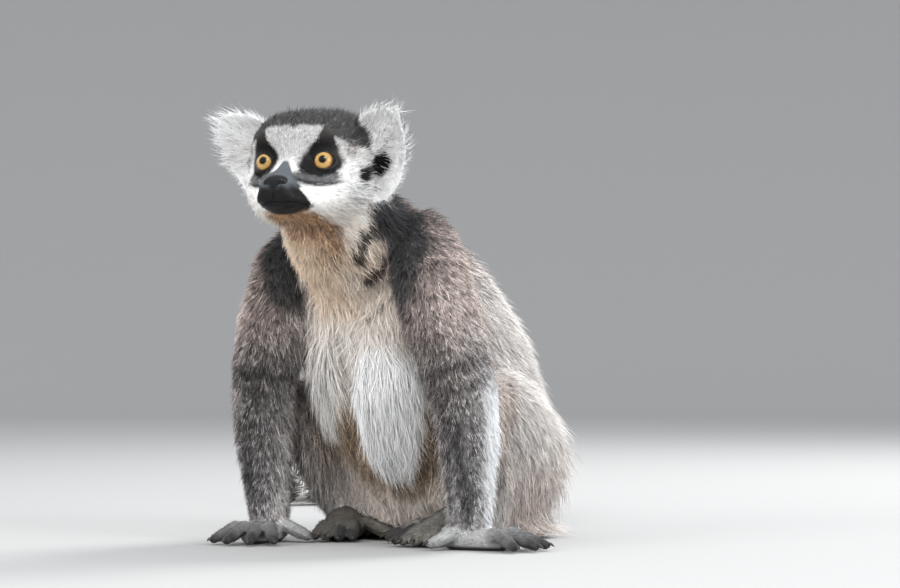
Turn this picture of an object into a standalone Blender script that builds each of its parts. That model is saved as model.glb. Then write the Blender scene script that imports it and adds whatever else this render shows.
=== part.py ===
"""Ring-tailed lemur, life size, sitting on its rump with both hands planted in front.

Metres, +Z up. The animal faces -Y and its left side is +X. The origin is the centre of
the flat under the rump, on the floor. Solids reach out to the tips of the coat.
"""

import math

import bmesh
import bpy
import numpy as np
from mathutils import Matrix, Vector

MM = 0.001
GAP = 0.0006          # clearance kept between neighbouring solids
SLIVER = 0.00001      # edges shorter than this are dissolved after a cut
FLOOR_SINK = 0.05     # how far the floor cutter reaches down

# ---- Driving dimensions ------------------------------------------------------
HEAD_CENTRE = Vector((0.003, -0.1855, 0.2452))
HEAD_YAW = math.radians(6.0)       # towards its left
HEAD_PITCH = math.radians(2.0)     # nose up
EYE_RADIUS = 8.2                   # millimetres
TAIL_LENGTHS = 5                   # lengths that the tail is parted into

# Linear colour and roughness of each slot
FINISHES = {
    "grey_fur": ((0.20, 0.18, 0.17), 0.9),
    "white_fur": ((0.75, 0.72, 0.68), 0.9),
    "brown_fur": ((0.33, 0.27, 0.23), 0.9),
    "tail_fur": ((0.12, 0.12, 0.12), 0.9),
    "muzzle_skin": ((0.02, 0.02, 0.022), 0.45),
    "eye_amber": ((0.62, 0.28, 0.03), 0.1),
}


# ---- Helpers -----------------------------------------------------------------
def clear_scene():
    for obj in list(bpy.data.objects):
        bpy.data.objects.remove(obj)


def finish_of(slot):
    """The Principled material of one coat or skin slot, made once."""
    found = bpy.data.materials.get(slot)
    if found:
        return found
    colour, roughness = FINISHES[slot]
    made = bpy.data.materials.new(slot)
    made.use_nodes = True
    shader = made.node_tree.nodes["Principled BSDF"]
    shader.inputs["Base Color"].default_value = (*colour, 1.0)
    shader.inputs["Roughness"].default_value = roughness
    shader.inputs["Metallic"].default_value = 0.0
    return made


def new_object(name, vertices, faces, slot):
    """A mesh object from points and faces, smooth shaded, with one material."""
    mesh = bpy.data.meshes.new(name)
    mesh.from_pydata([tuple(v) for v in vertices], [], [tuple(f) for f in faces])
    mesh.validate()
    mesh.update()
    mesh.materials.append(finish_of(slot))
    obj = bpy.data.objects.new(name, mesh)
    bpy.context.scene.collection.objects.link(obj)
    mesh.shade_smooth()
    return obj


def spline(rows, steps):
    """Catmull-Rom curve through the rows, with this many steps in each span."""
    rows = np.asarray(rows, float)
    ends = np.vstack([2 * rows[0] - rows[1], rows, 2 * rows[-1] - rows[-2]])
    out = []
    for i in range(1, len(ends) - 2):
        a, b, c, d = ends[i - 1 : i + 3]
        for t in np.arange(steps) / steps:
            out.append(
                0.5 * (2 * b + (c - a) * t + (2 * a - 5 * b + 4 * c - d) * t**2
                       + (3 * b - a - 3 * c + d) * t**3)
            )
    out.append(rows[-1])
    return np.array(out)


def ring_points(centre, side, up, half_side, half_up, sides, power=2.0):
    """One closed cross-section: a superellipse of this power in the side-up plane."""
    turn = 2 * math.pi * np.arange(sides) / sides
    c, s = np.cos(turn), np.sin(turn)
    across = half_side * np.sign(c) * np.abs(c) ** (2 / power)
    rise = half_up * np.sign(s) * np.abs(s) ** (2 / power)
    return centre + np.outer(across, side) + np.outer(rise, up)


def bridge(rings, first_tip=None, last_tip=None):
    """Faces and points of a tube of rings, closed by a flat cap or by a tip at each end."""
    sides = len(rings[0])
    points = np.vstack(rings)
    faces = []
    for k in range(len(rings) - 1):
        for i in range(sides):
            j = (i + 1) % sides
            faces.append((k * sides + i, k * sides + j, (k + 1) * sides + j, (k + 1) * sides + i))
    last = (len(rings) - 1) * sides
    if first_tip is None:
        faces.append(tuple(reversed(range(sides))))
    else:
        points = np.vstack([points, first_tip])
        faces += [(len(points) - 1, (i + 1) % sides, i) for i in range(sides)]
    if last_tip is None:
        faces.append(tuple(last + i for i in range(sides)))
    else:
        points = np.vstack([points, last_tip])
        faces += [(len(points) - 1, last + i, last + (i + 1) % sides) for i in range(sides)]
    return points, faces


def frames_along(centres, side_hint):
    """Tangent, side and up vectors at each centre; side stays as near the hint as it can."""
    tangents = np.gradient(centres, axis=0)
    tangents /= np.linalg.norm(tangents, axis=1)[:, None]
    side = np.asarray(side_hint, float) - tangents * (tangents @ side_hint)[:, None]
    side /= np.linalg.norm(side, axis=1)[:, None]
    return tangents, side, np.cross(tangents, side)


def dome(fractions, first, last):
    """Scale and shift of the extra rings that round off the two ends of a tube."""
    angles = [math.pi / 2 * (k + 1) / (fractions + 1) for k in range(fractions)]
    return [(math.cos(a), math.sin(a)) for a in angles] if (first or last) else []


def tube_rings(rows, steps, sides, side_hint, power=2.0, domes=(True, True), dome_rings=2):
    """Rings of a tube whose rows are x, y, z, half side, half up, with domed ends."""
    smooth = spline(rows, steps)
    centres, half_side, half_up = smooth[:, :3], smooth[:, 3], smooth[:, 4]
    tangents, side, up = frames_along(centres, side_hint)
    rings = [
        ring_points(centres[k], side[k], up[k], half_side[k], half_up[k], sides, power)
        for k in range(len(centres))
    ]
    extra = dome(dome_rings, *domes)
    tips = [None, None]
    for end, (k, sign) in enumerate(((0, -1), (-1, 1))):
        if not domes[end]:
            continue
        reach = 0.75 * min(half_side[k], half_up[k])
        caps = [
            ring_points(centres[k] + sign * reach * rise * tangents[k], side[k], up[k],
                        half_side[k] * share, half_up[k] * share, sides, power)
            for share, rise in extra
        ]
        tips[end] = centres[k] + sign * reach * tangents[k]
        rings = caps[::-1] + rings if end == 0 else rings + caps
    return rings, tips


def tube(name, rows, slot, steps=2, sides=16, side_hint=(1, 0, 0), power=2.0,
         domes=(True, True), dome_rings=2):
    rings, tips = tube_rings(rows, steps, sides, np.array(side_hint, float), power, domes,
                             dome_rings)
    points, faces = bridge(rings, *tips)
    return new_object(name, points, faces, slot)


def copied(obj):
    copy = obj.copy()
    copy.data = obj.data.copy()
    bpy.context.scene.collection.objects.link(copy)
    return copy


SHADOWS = {}             # uncut, slightly swollen copy of each solid, to cut its neighbours with


def remember(obj):
    """Keeps a copy of the solid, swollen by the gap along its normals, under its name."""
    copy = copied(obj)
    mesh = copy.data
    count = len(mesh.vertices)
    place, normal = np.empty(count * 3), np.empty(count * 3)
    mesh.vertices.foreach_get("co", place)
    mesh.vertex_normals.foreach_get("vector", normal)
    mesh.vertices.foreach_set("co", place + GAP * normal)
    mesh.update()
    SHADOWS[obj.name] = copy
    return obj


def boolean(obj, other, operation):
    """Applies one exact Boolean to the object and removes the other object."""
    modifier = obj.modifiers.new("join", "BOOLEAN")
    modifier.operation, modifier.solver, modifier.object = operation, "EXACT", other
    bpy.context.view_layer.update()
    graph = bpy.context.evaluated_depsgraph_get()
    mesh = bpy.data.meshes.new_from_object(obj.evaluated_get(graph))
    obj.modifiers.clear()
    obj.data = mesh
    bpy.data.objects.remove(other)
    return obj


def cut_by(obj, *names):
    """Takes each remembered neighbour, with its gap, out of the object."""
    for name in names:
        boolean(obj, copied(SHADOWS[name]), "DIFFERENCE")
    return keep_largest(obj)


def keep_largest(obj):
    """Drops the folded faces and the slivers that a cut may leave beside the solid."""
    work = bmesh.new()
    work.from_mesh(obj.data)
    bmesh.ops.dissolve_degenerate(work, edges=work.edges, dist=SLIVER)
    bmesh.ops.triangulate(work, faces=work.faces)
    twins = {}
    for face in work.faces:
        twins.setdefault(frozenset(face.verts), []).append(face)
    folded = [face for pair in twins.values() if len(pair) > 1 for face in pair]
    bmesh.ops.delete(work, geom=folded, context="FACES")
    left, bodies = set(work.verts), []
    while left:
        body, front = set(), [left.pop()]
        while front:
            vertex = front.pop()
            body.add(vertex)
            for edge in vertex.link_edges:
                other = edge.other_vert(vertex)
                if other in left:
                    left.discard(other)
                    front.append(other)
        bodies.append(body)
    bodies.sort(key=len)
    for body in bodies[:-1]:
        bmesh.ops.delete(work, geom=list(body), context="VERTS")
    work.to_mesh(obj.data)
    work.free()
    return obj


def box(name, low, high, matrix=None):
    corners = [Vector((x, y, z)) for x in (low[0], high[0]) for y in (low[1], high[1])
               for z in (low[2], high[2])]
    if matrix is not None:
        corners = [matrix @ c for c in corners]
    faces = [(0, 1, 3, 2), (4, 6, 7, 5), (0, 4, 5, 1), (2, 3, 7, 6), (0, 2, 6, 4), (1, 5, 7, 3)]
    return new_object(name, corners, faces, "grey_fur")


def stand_on_floor(obj):
    """Cuts off what lies under the floor, which leaves a small flat at level zero."""
    reach = 1.0
    floor = box("floor_cutter", (-reach, -reach, -FLOOR_SINK), (reach, reach, 0.0))
    return boolean(obj, floor, "DIFFERENCE")


def union(name, objects, slot):
    base = objects[0]
    for other in objects[1:]:
        boolean(base, other, "UNION")
    base.name = base.data.name = name
    base.data.materials.clear()
    base.data.materials.append(finish_of(slot))
    return base


def mirrored(rows, sign):
    """The rows of the left side, or with x turned over those of the right."""
    return [(sign * r[0], *r[1:]) for r in rows]


def side_name(stem, sign):
    return f"{stem}_{'left' if sign > 0 else 'right'}"


def face_out(obj):
    """Turns the faces outwards if the signed volume says they point in."""
    work = bmesh.new()
    work.from_mesh(obj.data)
    if work.calc_volume(signed=True) < 0:
        bmesh.ops.reverse_faces(work, faces=work.faces)
    work.to_mesh(obj.data)
    work.free()
    return obj


def draw_back(rings):
    """Moves the last ring back along the tube by the gap."""
    back = rings[-2].mean(0) - rings[-1].mean(0)
    rings[-1] = rings[-1] + GAP * back / np.linalg.norm(back)


# ---- Trunk and neck ----------------------------------------------------------
# Side view in millimetres: back line y, z, then chest and belly line y, z, then half width.
TRUNK_PROFILE = [
    ((-108, 226), (-158, 200), 42),
    ((-76, 220), (-157, 181), 53),
    ((-40, 204), (-150, 156), 62),
    ((-6, 181), (-137, 122), 70),
    ((25, 150), (-118, 86), 76),
    ((43, 114), (-98, 56), 79),
    ((51, 76), (-84, 31), 79),
    ((51, 40), (-68, 10), 78),
    ((44, 4), (-50, -10), 70),
]
NECK_ROWS = [            # x, y, z, half side, half up
    (0, -122, 197, 46, 46),
    (1, -142, 206, 45, 44),
    (2, -162, 217, 42, 41),
    (3, -178, 230, 36, 34),
]
TRUNK_PARTS = (("chest", "white_fur"), ("loins", "brown_fur"), ("rump", "grey_fur"))
CHEST_RINGS = 7          # rings of the trunk that belong to the chest
LOIN_RINGS = 6           # and to the loins; the rump has the rest


def trunk_sections(steps=2, sides=24):
    """Rings of the trunk: each spans the back line and the belly line, with its half width."""
    rows = np.array([[*back, *front, width] for back, front, width in TRUNK_PROFILE], float) * MM
    rings = []
    for yb, zb, yf, zf, half in spline(rows, steps):
        centre = np.array([0, (yb + yf) / 2, (zb + zf) / 2])
        rise = np.array([0, (yb - yf) / 2, (zb - zf) / 2])
        depth = np.linalg.norm(rise)
        rings.append(ring_points(centre, np.array([1.0, 0, 0]), rise / depth, half, depth,
                                 sides, 2.15))
    return rings


def make_trunk():
    """Chest, loins and rump: one hunched trunk, parted by two thin cuts."""
    rings = trunk_sections()
    whole = face_out(new_object("trunk", *bridge(rings), "grey_fur"))
    remember(whole)
    bpy.data.objects.remove(whole)
    breaks = [0, CHEST_RINGS, CHEST_RINGS + LOIN_RINGS, len(rings) - 1]
    made = []
    for k, (name, slot) in enumerate(TRUNK_PARTS):
        part = [r.copy() for r in rings[breaks[k] : breaks[k + 1] + 1]]
        if k < len(TRUNK_PARTS) - 1:
            draw_back(part)
        made.append(face_out(new_object(name, *bridge(part), slot)))
    stand_on_floor(made[-1])
    return made


# ---- Head --------------------------------------------------------------------
# Stations from the back of the skull to the nose, millimetres in the head's own frame:
# forward, half width, top, bottom, height of the widest place.
HEAD_STATIONS = [
    (-37, 15, 16, -10, 2),
    (-32, 25, 28, -20, 1),
    (-23, 33, 36, -28, -1),
    (-10, 37.5, 39.5, -35, -4),
    (4, 40, 40, -38, -7),
    (13, 40.5, 38.5, -38, -9),
    (21, 39.5, 37, -37, -11),
    (28, 36.5, 34, -36, -12),
    (33, 32.5, 29.5, -34.5, -14),
    (37, 27, 22.5, -33, -17),
    (40.5, 21, 9, -32, -20),
    (47, 17, -4, -31, -22),
    (53, 15.5, -8, -29.5, -22.5),
    (57.5, 12.5, -11, -27, -21),
    (60, 7, -15, -23.5, -20),
]
NOSE_AT, NOSE_HALF = (56.5, 0, -14.5), (4.8, 9.3, 4.8)
EYE_AT = (29.8, 20.4, 1.8)
SOCKET_DEPTH, SOCKET_REACH = 6.0, (9.5, 8.5)     # dip of the face round each eye
MOUTH_CORNER, MOUTH_FRONT = (41.0, -27.5), (62.0, -25.5)     # forward, up
EAR_ROOT = (4, 29, 4)
EAR_RIM = [              # from the crown, over the tip, to the cheek: forward, out, up
    (8, 29, 30),
    (12, 42, 36),
    (16, 55, 37.5),
    (19, 64, 34),
    (12, 67, 21),
    (3, 64, 6),
    (-4, 57, -8),
    (-6, 48, -18),
    (-4, 36, -23),
]
EAR_CUP, EAR_WALL = 9.0, 5.0


def head_matrix():
    """From the head's own frame (forward, left, up; metres) to the world."""
    axes = Matrix(((0, 1, 0), (-1, 0, 0), (0, 0, 1))).to_4x4()
    yaw = Matrix.Rotation(HEAD_YAW, 4, "Z")
    pitch = Matrix.Rotation(-HEAD_PITCH, 4, "X")
    return Matrix.Translation(HEAD_CENTRE) @ yaw @ pitch @ axes


def to_world(points):
    matrix = np.array(head_matrix())
    return np.asarray(points) @ matrix[:3, :3].T + matrix[:3, 3]


def head_ring(station, sides, power_up=3.3, power_down=2.3):
    """A section of the head: upper and lower halves share their widest line."""
    forward, width, top, bottom, waist = station
    turn = 2 * math.pi * np.arange(sides) / sides
    c, s = np.cos(turn), np.sin(turn)
    upper = s >= 0
    power = np.where(upper, power_up, power_down)
    height = np.where(upper, top - waist, waist - bottom)
    across = width * np.sign(c) * np.abs(c) ** (2 / power)
    rise = waist + height * np.sign(s) * np.abs(s) ** (2 / power)
    return np.stack([np.full(sides, forward), across, rise], axis=1)


def sink_sockets(ring):
    """Draws the face back round each eye by a bell curve of the distance from the eye's axis."""
    across = (np.abs(ring[:, 1]) - EYE_AT[1]) / SOCKET_REACH[0]
    rise = (ring[:, 2] - EYE_AT[2]) / SOCKET_REACH[1]
    return ring - np.outer(SOCKET_DEPTH * np.exp(-across**2 - rise**2), (1, 0, 0))


def make_head():
    """Skull with its eyes and nose let in, and the lower jaw parted at the mouth."""
    rings = [to_world(sink_sockets(head_ring(s, 20)) * MM) for s in HEAD_STATIONS]
    first = to_world(np.array([HEAD_STATIONS[0][0] - 2.5, 0, 2.0]) * MM)
    last = to_world(np.array([HEAD_STATIONS[-1][0] + 0.8, 0, -20]) * MM)
    points, faces = bridge(rings, first, last)
    head = remember(face_out(new_object("head", points, faces, "white_fur")))
    for sign in (1, -1):
        centre = (EYE_AT[0], sign * EYE_AT[1], EYE_AT[2])
        eye = ellipsoid(side_name("eye", sign), centre, (EYE_RADIUS,) * 3, "eye_amber", 12, 7)
        cut_by(head, eye.name)
    ellipsoid("nose", NOSE_AT, NOSE_HALF, "muzzle_skin", 12, 5)
    cut_by(head, "nose")
    jaw = copied(head)
    jaw.name = jaw.data.name = "lower_jaw"
    boolean(jaw, mouth_block(0.0), "INTERSECT")
    boolean(head, mouth_block(GAP), "DIFFERENCE")
    for obj, slot in ((head, "white_fur"), (jaw, "muzzle_skin")):
        obj.data.materials.clear()
        obj.data.materials.append(finish_of(slot))
    return head


def mouth_block(extra):
    """A block under the line of the mouth, from the corner of the lips forward."""
    (back, back_up), (front, front_up) = MOUTH_CORNER, MOUTH_FRONT
    slope = math.atan2(front_up - back_up, front - back)
    tilt = Matrix.Translation((back * MM, 0, back_up * MM)) @ Matrix.Rotation(-slope, 4, "Y")
    low = (-extra, -0.05, -0.03)
    high = (0.05, 0.05, extra)
    return face_out(box("mouth_block", low, high, head_matrix() @ tilt))


def ellipsoid(name, centre, half, slot, segments, rings):
    """An ellipsoid in the head's frame, half sizes forward, left and up."""
    lat = np.pi * (np.arange(1, rings) / rings)
    lon = 2 * np.pi * np.arange(segments) / segments
    loops = [np.stack([np.full(segments, np.cos(a)), np.sin(a) * np.cos(lon),
                       np.sin(a) * np.sin(lon)], axis=1) for a in lat]
    scale = np.array(half) * MM
    place = np.array(centre) * MM
    loops = [to_world(loop * scale + place) for loop in loops]
    tips = [to_world(np.array([sign, 0, 0]) * scale + place) for sign in (1, -1)]
    points, faces = bridge(loops, *tips)
    return remember(face_out(new_object(name, points, faces, slot)))


def ear_sheet(columns):
    """Middle sheet of the left ear: lines from its root to the rim, bellied backwards."""
    rim, root = np.array(EAR_RIM, float), np.array(EAR_ROOT, float)
    share = np.linspace(0, 1, columns)[None, :, None]
    sheet = root + (rim - root)[:, None, :] * share
    sheet[..., 0] -= EAR_CUP * (4 * share * (1 - share))[..., 0]
    return sheet


def make_ear(sign):
    """A cupped fan of even thickness, closed round its rim."""
    shares = np.linspace(0.0, 1.0, 5)
    sheet = ear_sheet(len(shares)) * (1, sign, 1)
    along = np.gradient(sheet, axis=0)
    outward = np.gradient(sheet, axis=1)
    normal = np.cross(along, outward)
    size = np.linalg.norm(normal, axis=2)[..., None]
    normal = np.divide(normal, size, out=np.zeros_like(normal), where=size > 1e-6)
    normal[:, 0] = normal[:, 1]
    wall = EAR_WALL * (1 - 0.45 * shares**3)[None, :, None]
    front, back = sheet + normal * wall / 2, sheet - normal * wall / 2
    rows, cols = sheet.shape[:2]
    front[:, 0], back[:, 0] = front[:, 0].mean(0), back[:, 0].mean(0)
    points = to_world(np.vstack([front.reshape(-1, 3), back.reshape(-1, 3)]) * MM)
    lift = rows * cols
    faces = []
    for i in range(rows - 1):
        for j in range(cols - 1):
            a, b = i * cols + j, i * cols + j + 1
            c, d = b + cols, a + cols
            faces += [(a, b, c, d), (lift + d, lift + c, lift + b, lift + a)]
        rim = i * cols + cols - 1
        faces.append((rim, lift + rim, lift + rim + cols, rim + cols))
    for i in (0, rows - 1):
        for j in range(cols - 1):
            a, b = i * cols + j, i * cols + j + 1
            side = (a, lift + a, lift + b, b)
            faces.append(side if i == 0 else side[::-1])
    obj = new_object(side_name("ear", sign), points, faces, "white_fur")
    weld(obj)
    return face_out(obj)


def weld(obj, within=1e-5):
    work = bmesh.new()
    work.from_mesh(obj.data)
    bmesh.ops.remove_doubles(work, verts=work.verts, dist=within)
    bmesh.ops.dissolve_degenerate(work, edges=work.edges, dist=within)
    bmesh.ops.recalc_face_normals(work, faces=work.faces)
    work.to_mesh(obj.data)
    work.free()


# ---- Arms and hands ----------------------------------------------------------
ARM_ROWS = [             # left arm: x, y, z, half side, half fore-and-aft
    (40, -112, 200, 24, 34),
    (53, -128, 180, 28, 35),
    (65, -132, 148, 26.5, 30),
    (74, -129, 120, 24.5, 27),
    (78, -127, 104, 23, 25),
    (80, -124, 76, 21.5, 23),
    (79.5, -121, 46, 18.5, 19),
    (78.5, -119, 20, 16, 16),
    (78.5, -119, 13, 14.5, 14.5),
]
ELBOW_ROW = 4
# Heading of the middle finger from straight ahead, in degrees; positive turns outwards.
HAND_HEADING = {1: 94.0, -1: -12.0}
THUMB_TURN = {1: -138.0, -1: -92.0}          # from the heading
HAND_WRIST = (78.5, -122.0)
PALM_LENGTH = 24
PALM_ROWS = [            # share of the palm's length, height, half width, half thickness
    (-0.35, 9.5, 12.5, 10.5),
    (0.0, 9, 13.5, 10),
    (0.4, 7.5, 12.5, 8.5),
    (0.8, 6.5, 12, 7.5),
    (1.0, 5.5, 9.5, 6),
]
FINGERS = [              # turn from the heading, reach, thickness, start across the palm
    (-30, 31, 4.7, -7),
    (-9, 36, 4.7, -2.5),
    (9, 36, 4.6, 2.5),
    (29, 30, 4.4, 7),
]
THUMB = (27, 5.2, -5)
DIGIT_SHAPE = [          # share of the reach, share of the arch, share of the thickness
    (0.0, 0.6, 1.0),
    (0.35, 1.0, 1.02),
    (0.75, 0.35, 0.92),
    (1.0, 0.0, 0.66),
]


def digit_rows(start, heading, reach, thick, arch):
    """A digit that rises to its knuckle and comes down on its pad: x, y, z, half side, half up."""
    go = np.array([math.sin(heading), -math.cos(heading)])
    rows = []
    for share, rise, size in DIGIT_SHAPE:
        at = np.array(start) + go * reach * share
        height, radius = 0.8 * thick + arch * rise, thick * size
        rows.append((*at, height, radius, 0.9 * radius))
    return np.array(rows) * MM


def make_paw(name, sign, start, heading, length, base_rows, digits, arch):
    """Palm or sole with its digits, joined into one solid, flat where it meets the floor.

    digits: turn, reach, thickness, start across, and start along as a share of the length.
    """
    heading = sign * math.radians(heading)
    go = np.array([math.sin(heading), -math.cos(heading)])
    across = np.array([math.cos(heading), math.sin(heading)])
    start = np.array([sign * start[0], start[1]])
    base = [(*(start + go * t * length), z, w, h) for t, z, w, h in base_rows]
    pieces = [tube(name, np.array(base) * MM, "grey_fur", 1, 12, (*across, 0), 2.2)]
    for turn, reach, thick, offset, back in digits:
        angle = heading + sign * math.radians(turn)
        root = start + go * length * back + sign * across * offset
        side = (math.cos(angle), math.sin(angle), 0)
        rows = digit_rows(root, angle, reach, thick, arch)
        pieces.append(tube("digit", rows, "grey_fur", 1, 6, side, 2.0, dome_rings=0))
    for piece in pieces:
        face_out(piece)
    return stand_on_floor(union(name, pieces, "grey_fur"))


def make_hand(sign):
    digits = [(*f, 0.72) for f in FINGERS] + [(THUMB_TURN[sign], *THUMB, 0.15)]
    return make_paw(side_name("hand", sign), sign, HAND_WRIST, HAND_HEADING[sign], PALM_LENGTH,
                    PALM_ROWS, digits, 8.0)


def make_arm(sign):
    """Upper arm and forearm: one tube, parted square across at the elbow."""
    rows = np.array(mirrored(ARM_ROWS, sign)) * MM
    rings, tips = tube_rings(rows, 1, 18, np.array([1.0, 0, 0]), 2.0, (True, False))
    whole = face_out(new_object(side_name("arm", sign), *bridge(rings, tips[0]), "grey_fur"))
    remember(whole)
    bpy.data.objects.remove(whole)
    cut = len(rings) - len(ARM_ROWS) + ELBOW_ROW
    made = []
    for stem, part, tip in (("upper_arm", rings[: cut + 1], tips[0]),
                            ("forearm", rings[cut:][::-1], None)):
        draw_back(part)
        made.append(face_out(new_object(side_name(stem, sign), *bridge(part, tip), "grey_fur")))
    return made


# ---- Legs and feet -----------------------------------------------------------
THIGH_ROWS = [           # x, y, z, half side, half up
    (44, 12, 50, 37, 50),
    (54, -12, 58, 35, 49),
    (62, -38, 68, 31, 48),
    (68, -60, 84, 27, 42),
    (70, -76, 96, 23, 31),
]
SHANK_ROWS = [
    (70, -86, 98, 19, 20),
    (69, -80, 76, 19, 22),
    (67, -70, 52, 18, 21),
    (61, -60, 31, 17, 19),
    (57, -53, 19, 15, 16),
]
FOOT_PLACE = {1: (47.0, -62.0, -10.0), -1: (56.0, -46.0, -20.0)}   # ankle x, y, heading
SOLE_LENGTH = 46
SOLE_ROWS = [            # share of the sole's length, height, half width, half thickness
    (-0.5, 9, 10, 10),
    (-0.15, 14, 13.5, 15.5),
    (0.25, 13, 14.5, 14.5),
    (0.7, 10, 14, 11.5),
    (1.0, 7, 12.5, 8.5),
]
TOES = [                 # turn from the heading, reach, thickness, start across the sole
    (-60, 32, 6.0, -8),
    (-12, 27, 5.0, -7),
    (-2, 29, 5.0, -2.5),
    (7, 28, 4.9, 3),
    (17, 24, 4.6, 8),
]


def make_leg(sign):
    """Thigh and shank, folded against the flank."""
    made = []
    for stem, table in (("thigh", THIGH_ROWS), ("shank", SHANK_ROWS)):
        rows = np.array(mirrored(table, sign)) * MM
        made.append(remember(face_out(tube(side_name(stem, sign), rows, "grey_fur", 1, 18))))
    return made


def make_foot(sign):
    ankle_x, ankle_y, heading = FOOT_PLACE[sign]
    digits = [(*t, 0.62 if abs(t[0]) > 40 else 0.84) for t in TOES]
    return make_paw(side_name("foot", sign), sign, (ankle_x, ankle_y), heading, SOLE_LENGTH,
                    SOLE_ROWS, digits, 7.0)


# ---- Tail --------------------------------------------------------------------
TAIL_ROWS = [            # x, y, z, half side, half up
    (0, 30, 32, 20, 22),
    (-1, 52, 27, 19, 20),
    (-5, 84, 20, 19, 19),
    (-22, 140, 19.5, 20.5, 20.5),
    (-56, 205, 20.5, 21.5, 21.5),
    (-104, 270, 21, 22, 22),
    (-166, 318, 21, 22, 22),
    (-236, 338, 20.5, 21.5, 21.5),
    (-296, 318, 19, 20, 20),
    (-330, 276, 14, 15, 15),
]


def make_tail():
    """The ringed tail lying on the floor behind, parted into a few lengths."""
    rings, tips = tube_rings(np.array(TAIL_ROWS) * MM, 3, 14, np.array([0, 0, 1.0]), 2.0, (True, True))
    share = (len(rings) - 1) / TAIL_LENGTHS
    breaks = [round(k * share) for k in range(TAIL_LENGTHS + 1)]
    made = []
    for k in range(TAIL_LENGTHS):
        part = [r.copy() for r in rings[breaks[k] : breaks[k + 1] + 1]]
        first = tips[0] if k == 0 else None
        last = tips[1] if k == TAIL_LENGTHS - 1 else None
        if last is None:
            draw_back(part)
        obj = new_object(f"tail_{k + 1}", *bridge(part, first, last), "tail_fur")
        made.append(face_out(obj))
    return [stand_on_floor(obj) for obj in made]


# ---- Assembly ----------------------------------------------------------------
def main():
    clear_scene()
    make_head()
    make_trunk()
    neck = face_out(tube("neck", np.array(NECK_ROWS) * MM, "white_fur", 1, 18))
    cut_by(remember(neck), "head", "trunk")
    cut_by(make_tail()[0], "trunk")
    for sign in (1, -1):
        arm, thigh, shank = (side_name(stem, sign) for stem in ("arm", "thigh", "shank"))
        cut_by(make_ear(sign), "head", "neck")
        upper, lower = make_arm(sign)
        cut_by(upper, "trunk", "neck")
        cut_by(lower, "trunk")
        cut_by(make_hand(sign), arm)
        thigh_part, shank_part = make_leg(sign)
        cut_by(thigh_part, "trunk", arm)
        cut_by(shank_part, thigh, "trunk", arm)
        cut_by(make_foot(sign), shank, thigh, "trunk", arm)
    for shadow in SHADOWS.values():
        bpy.data.objects.remove(shadow)


main()
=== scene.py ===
"""Ring-tailed lemur, life size, sitting: hide, face, eyes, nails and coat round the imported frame.

Metres, +Z up; the animal faces -Y and its left side is +X. Sizes in tables are millimetres.
"""

import math

import bmesh
import bpy
import numpy as np
from mathutils import Matrix, Vector
from mathutils.bvhtree import BVHTree
from mathutils.kdtree import KDTree


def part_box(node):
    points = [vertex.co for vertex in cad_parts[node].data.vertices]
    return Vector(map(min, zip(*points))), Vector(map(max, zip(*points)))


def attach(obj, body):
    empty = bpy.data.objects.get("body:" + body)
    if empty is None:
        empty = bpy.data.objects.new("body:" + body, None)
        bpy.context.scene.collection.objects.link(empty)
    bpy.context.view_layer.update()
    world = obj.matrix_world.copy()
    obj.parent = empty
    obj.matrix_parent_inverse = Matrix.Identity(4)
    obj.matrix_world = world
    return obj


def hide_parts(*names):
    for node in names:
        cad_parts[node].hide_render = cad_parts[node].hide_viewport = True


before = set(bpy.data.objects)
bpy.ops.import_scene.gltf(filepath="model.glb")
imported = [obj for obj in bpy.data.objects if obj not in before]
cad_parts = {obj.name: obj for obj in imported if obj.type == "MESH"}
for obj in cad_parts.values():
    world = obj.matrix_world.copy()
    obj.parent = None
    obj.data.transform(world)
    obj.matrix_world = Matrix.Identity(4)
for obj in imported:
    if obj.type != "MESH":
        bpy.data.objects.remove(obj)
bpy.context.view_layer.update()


# ---- Hide: the form ----------------------------------------------------------
# One skin over head, trunk, limbs and tail, without a seam. It is the solids of flesh run
# together on a fine grid, evened out, and drawn in by the depth of the coat that stands on them.
MM = 0.001
WELD = 1e-6                 # merge distance for a CAD node's loose triangles
CLOSE_CUTS = 0.45           # mm that each solid swells, so that its neighbours meet
SINK_FILLERS = -1.3         # mm by which the fillings under the eyes and nose lie in them
HIDE_CELL = 1.35            # mm, grid that the hide is run together on
LOBE_RISE = 5.0             # mm that the lobes of the breast stand proud
FLOOR_CLEAR = 0.0003        # m, the lowest that the hide comes
KEPT_FACES = 0.17           # share of the faces that stay under long hair
FLESH = [n for n in sorted(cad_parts) if not n.startswith(("eye_", "nose"))]
FILLERS = ["eye_left", "eye_right", "nose"]


def read_vectors(items, name):
    """One vector attribute of a mesh's items, as an array of rows."""
    flat = np.empty(len(items) * 3, np.float32)
    items.foreach_get(name, flat)
    return flat.reshape(-1, 3).astype(float)


def write_points(mesh, points):
    """Moves the mesh's points to the given places."""
    mesh.vertices.foreach_set("co", points.astype(np.float32).ravel())
    mesh.update()


def points_of(mesh):
    """Places of the mesh's points."""
    return read_vectors(mesh.vertices, "co")


def normals_of(mesh):
    """Directions out of the mesh at its points."""
    return read_vectors(mesh.vertex_normals, "vector")


def add_solid(work, node, out):
    """Adds a merged copy of the node to the work, its points moved out along their normals."""
    part = bmesh.new()
    part.from_mesh(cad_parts[node].data)
    bmesh.ops.remove_doubles(part, verts=part.verts, dist=WELD)
    part.normal_update()
    mesh = bpy.data.meshes.new("form")
    part.to_mesh(mesh)
    part.free()
    write_points(mesh, points_of(mesh) + out * MM * normals_of(mesh))
    work.from_mesh(mesh)
    bpy.data.meshes.remove(mesh)


def applied(obj):
    """The object's mesh with its modifiers worked in."""
    graph = bpy.context.evaluated_depsgraph_get()
    mesh = bpy.data.meshes.new_from_object(obj.evaluated_get(graph))
    obj.modifiers.clear()
    obj.data = mesh
    return mesh


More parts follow.
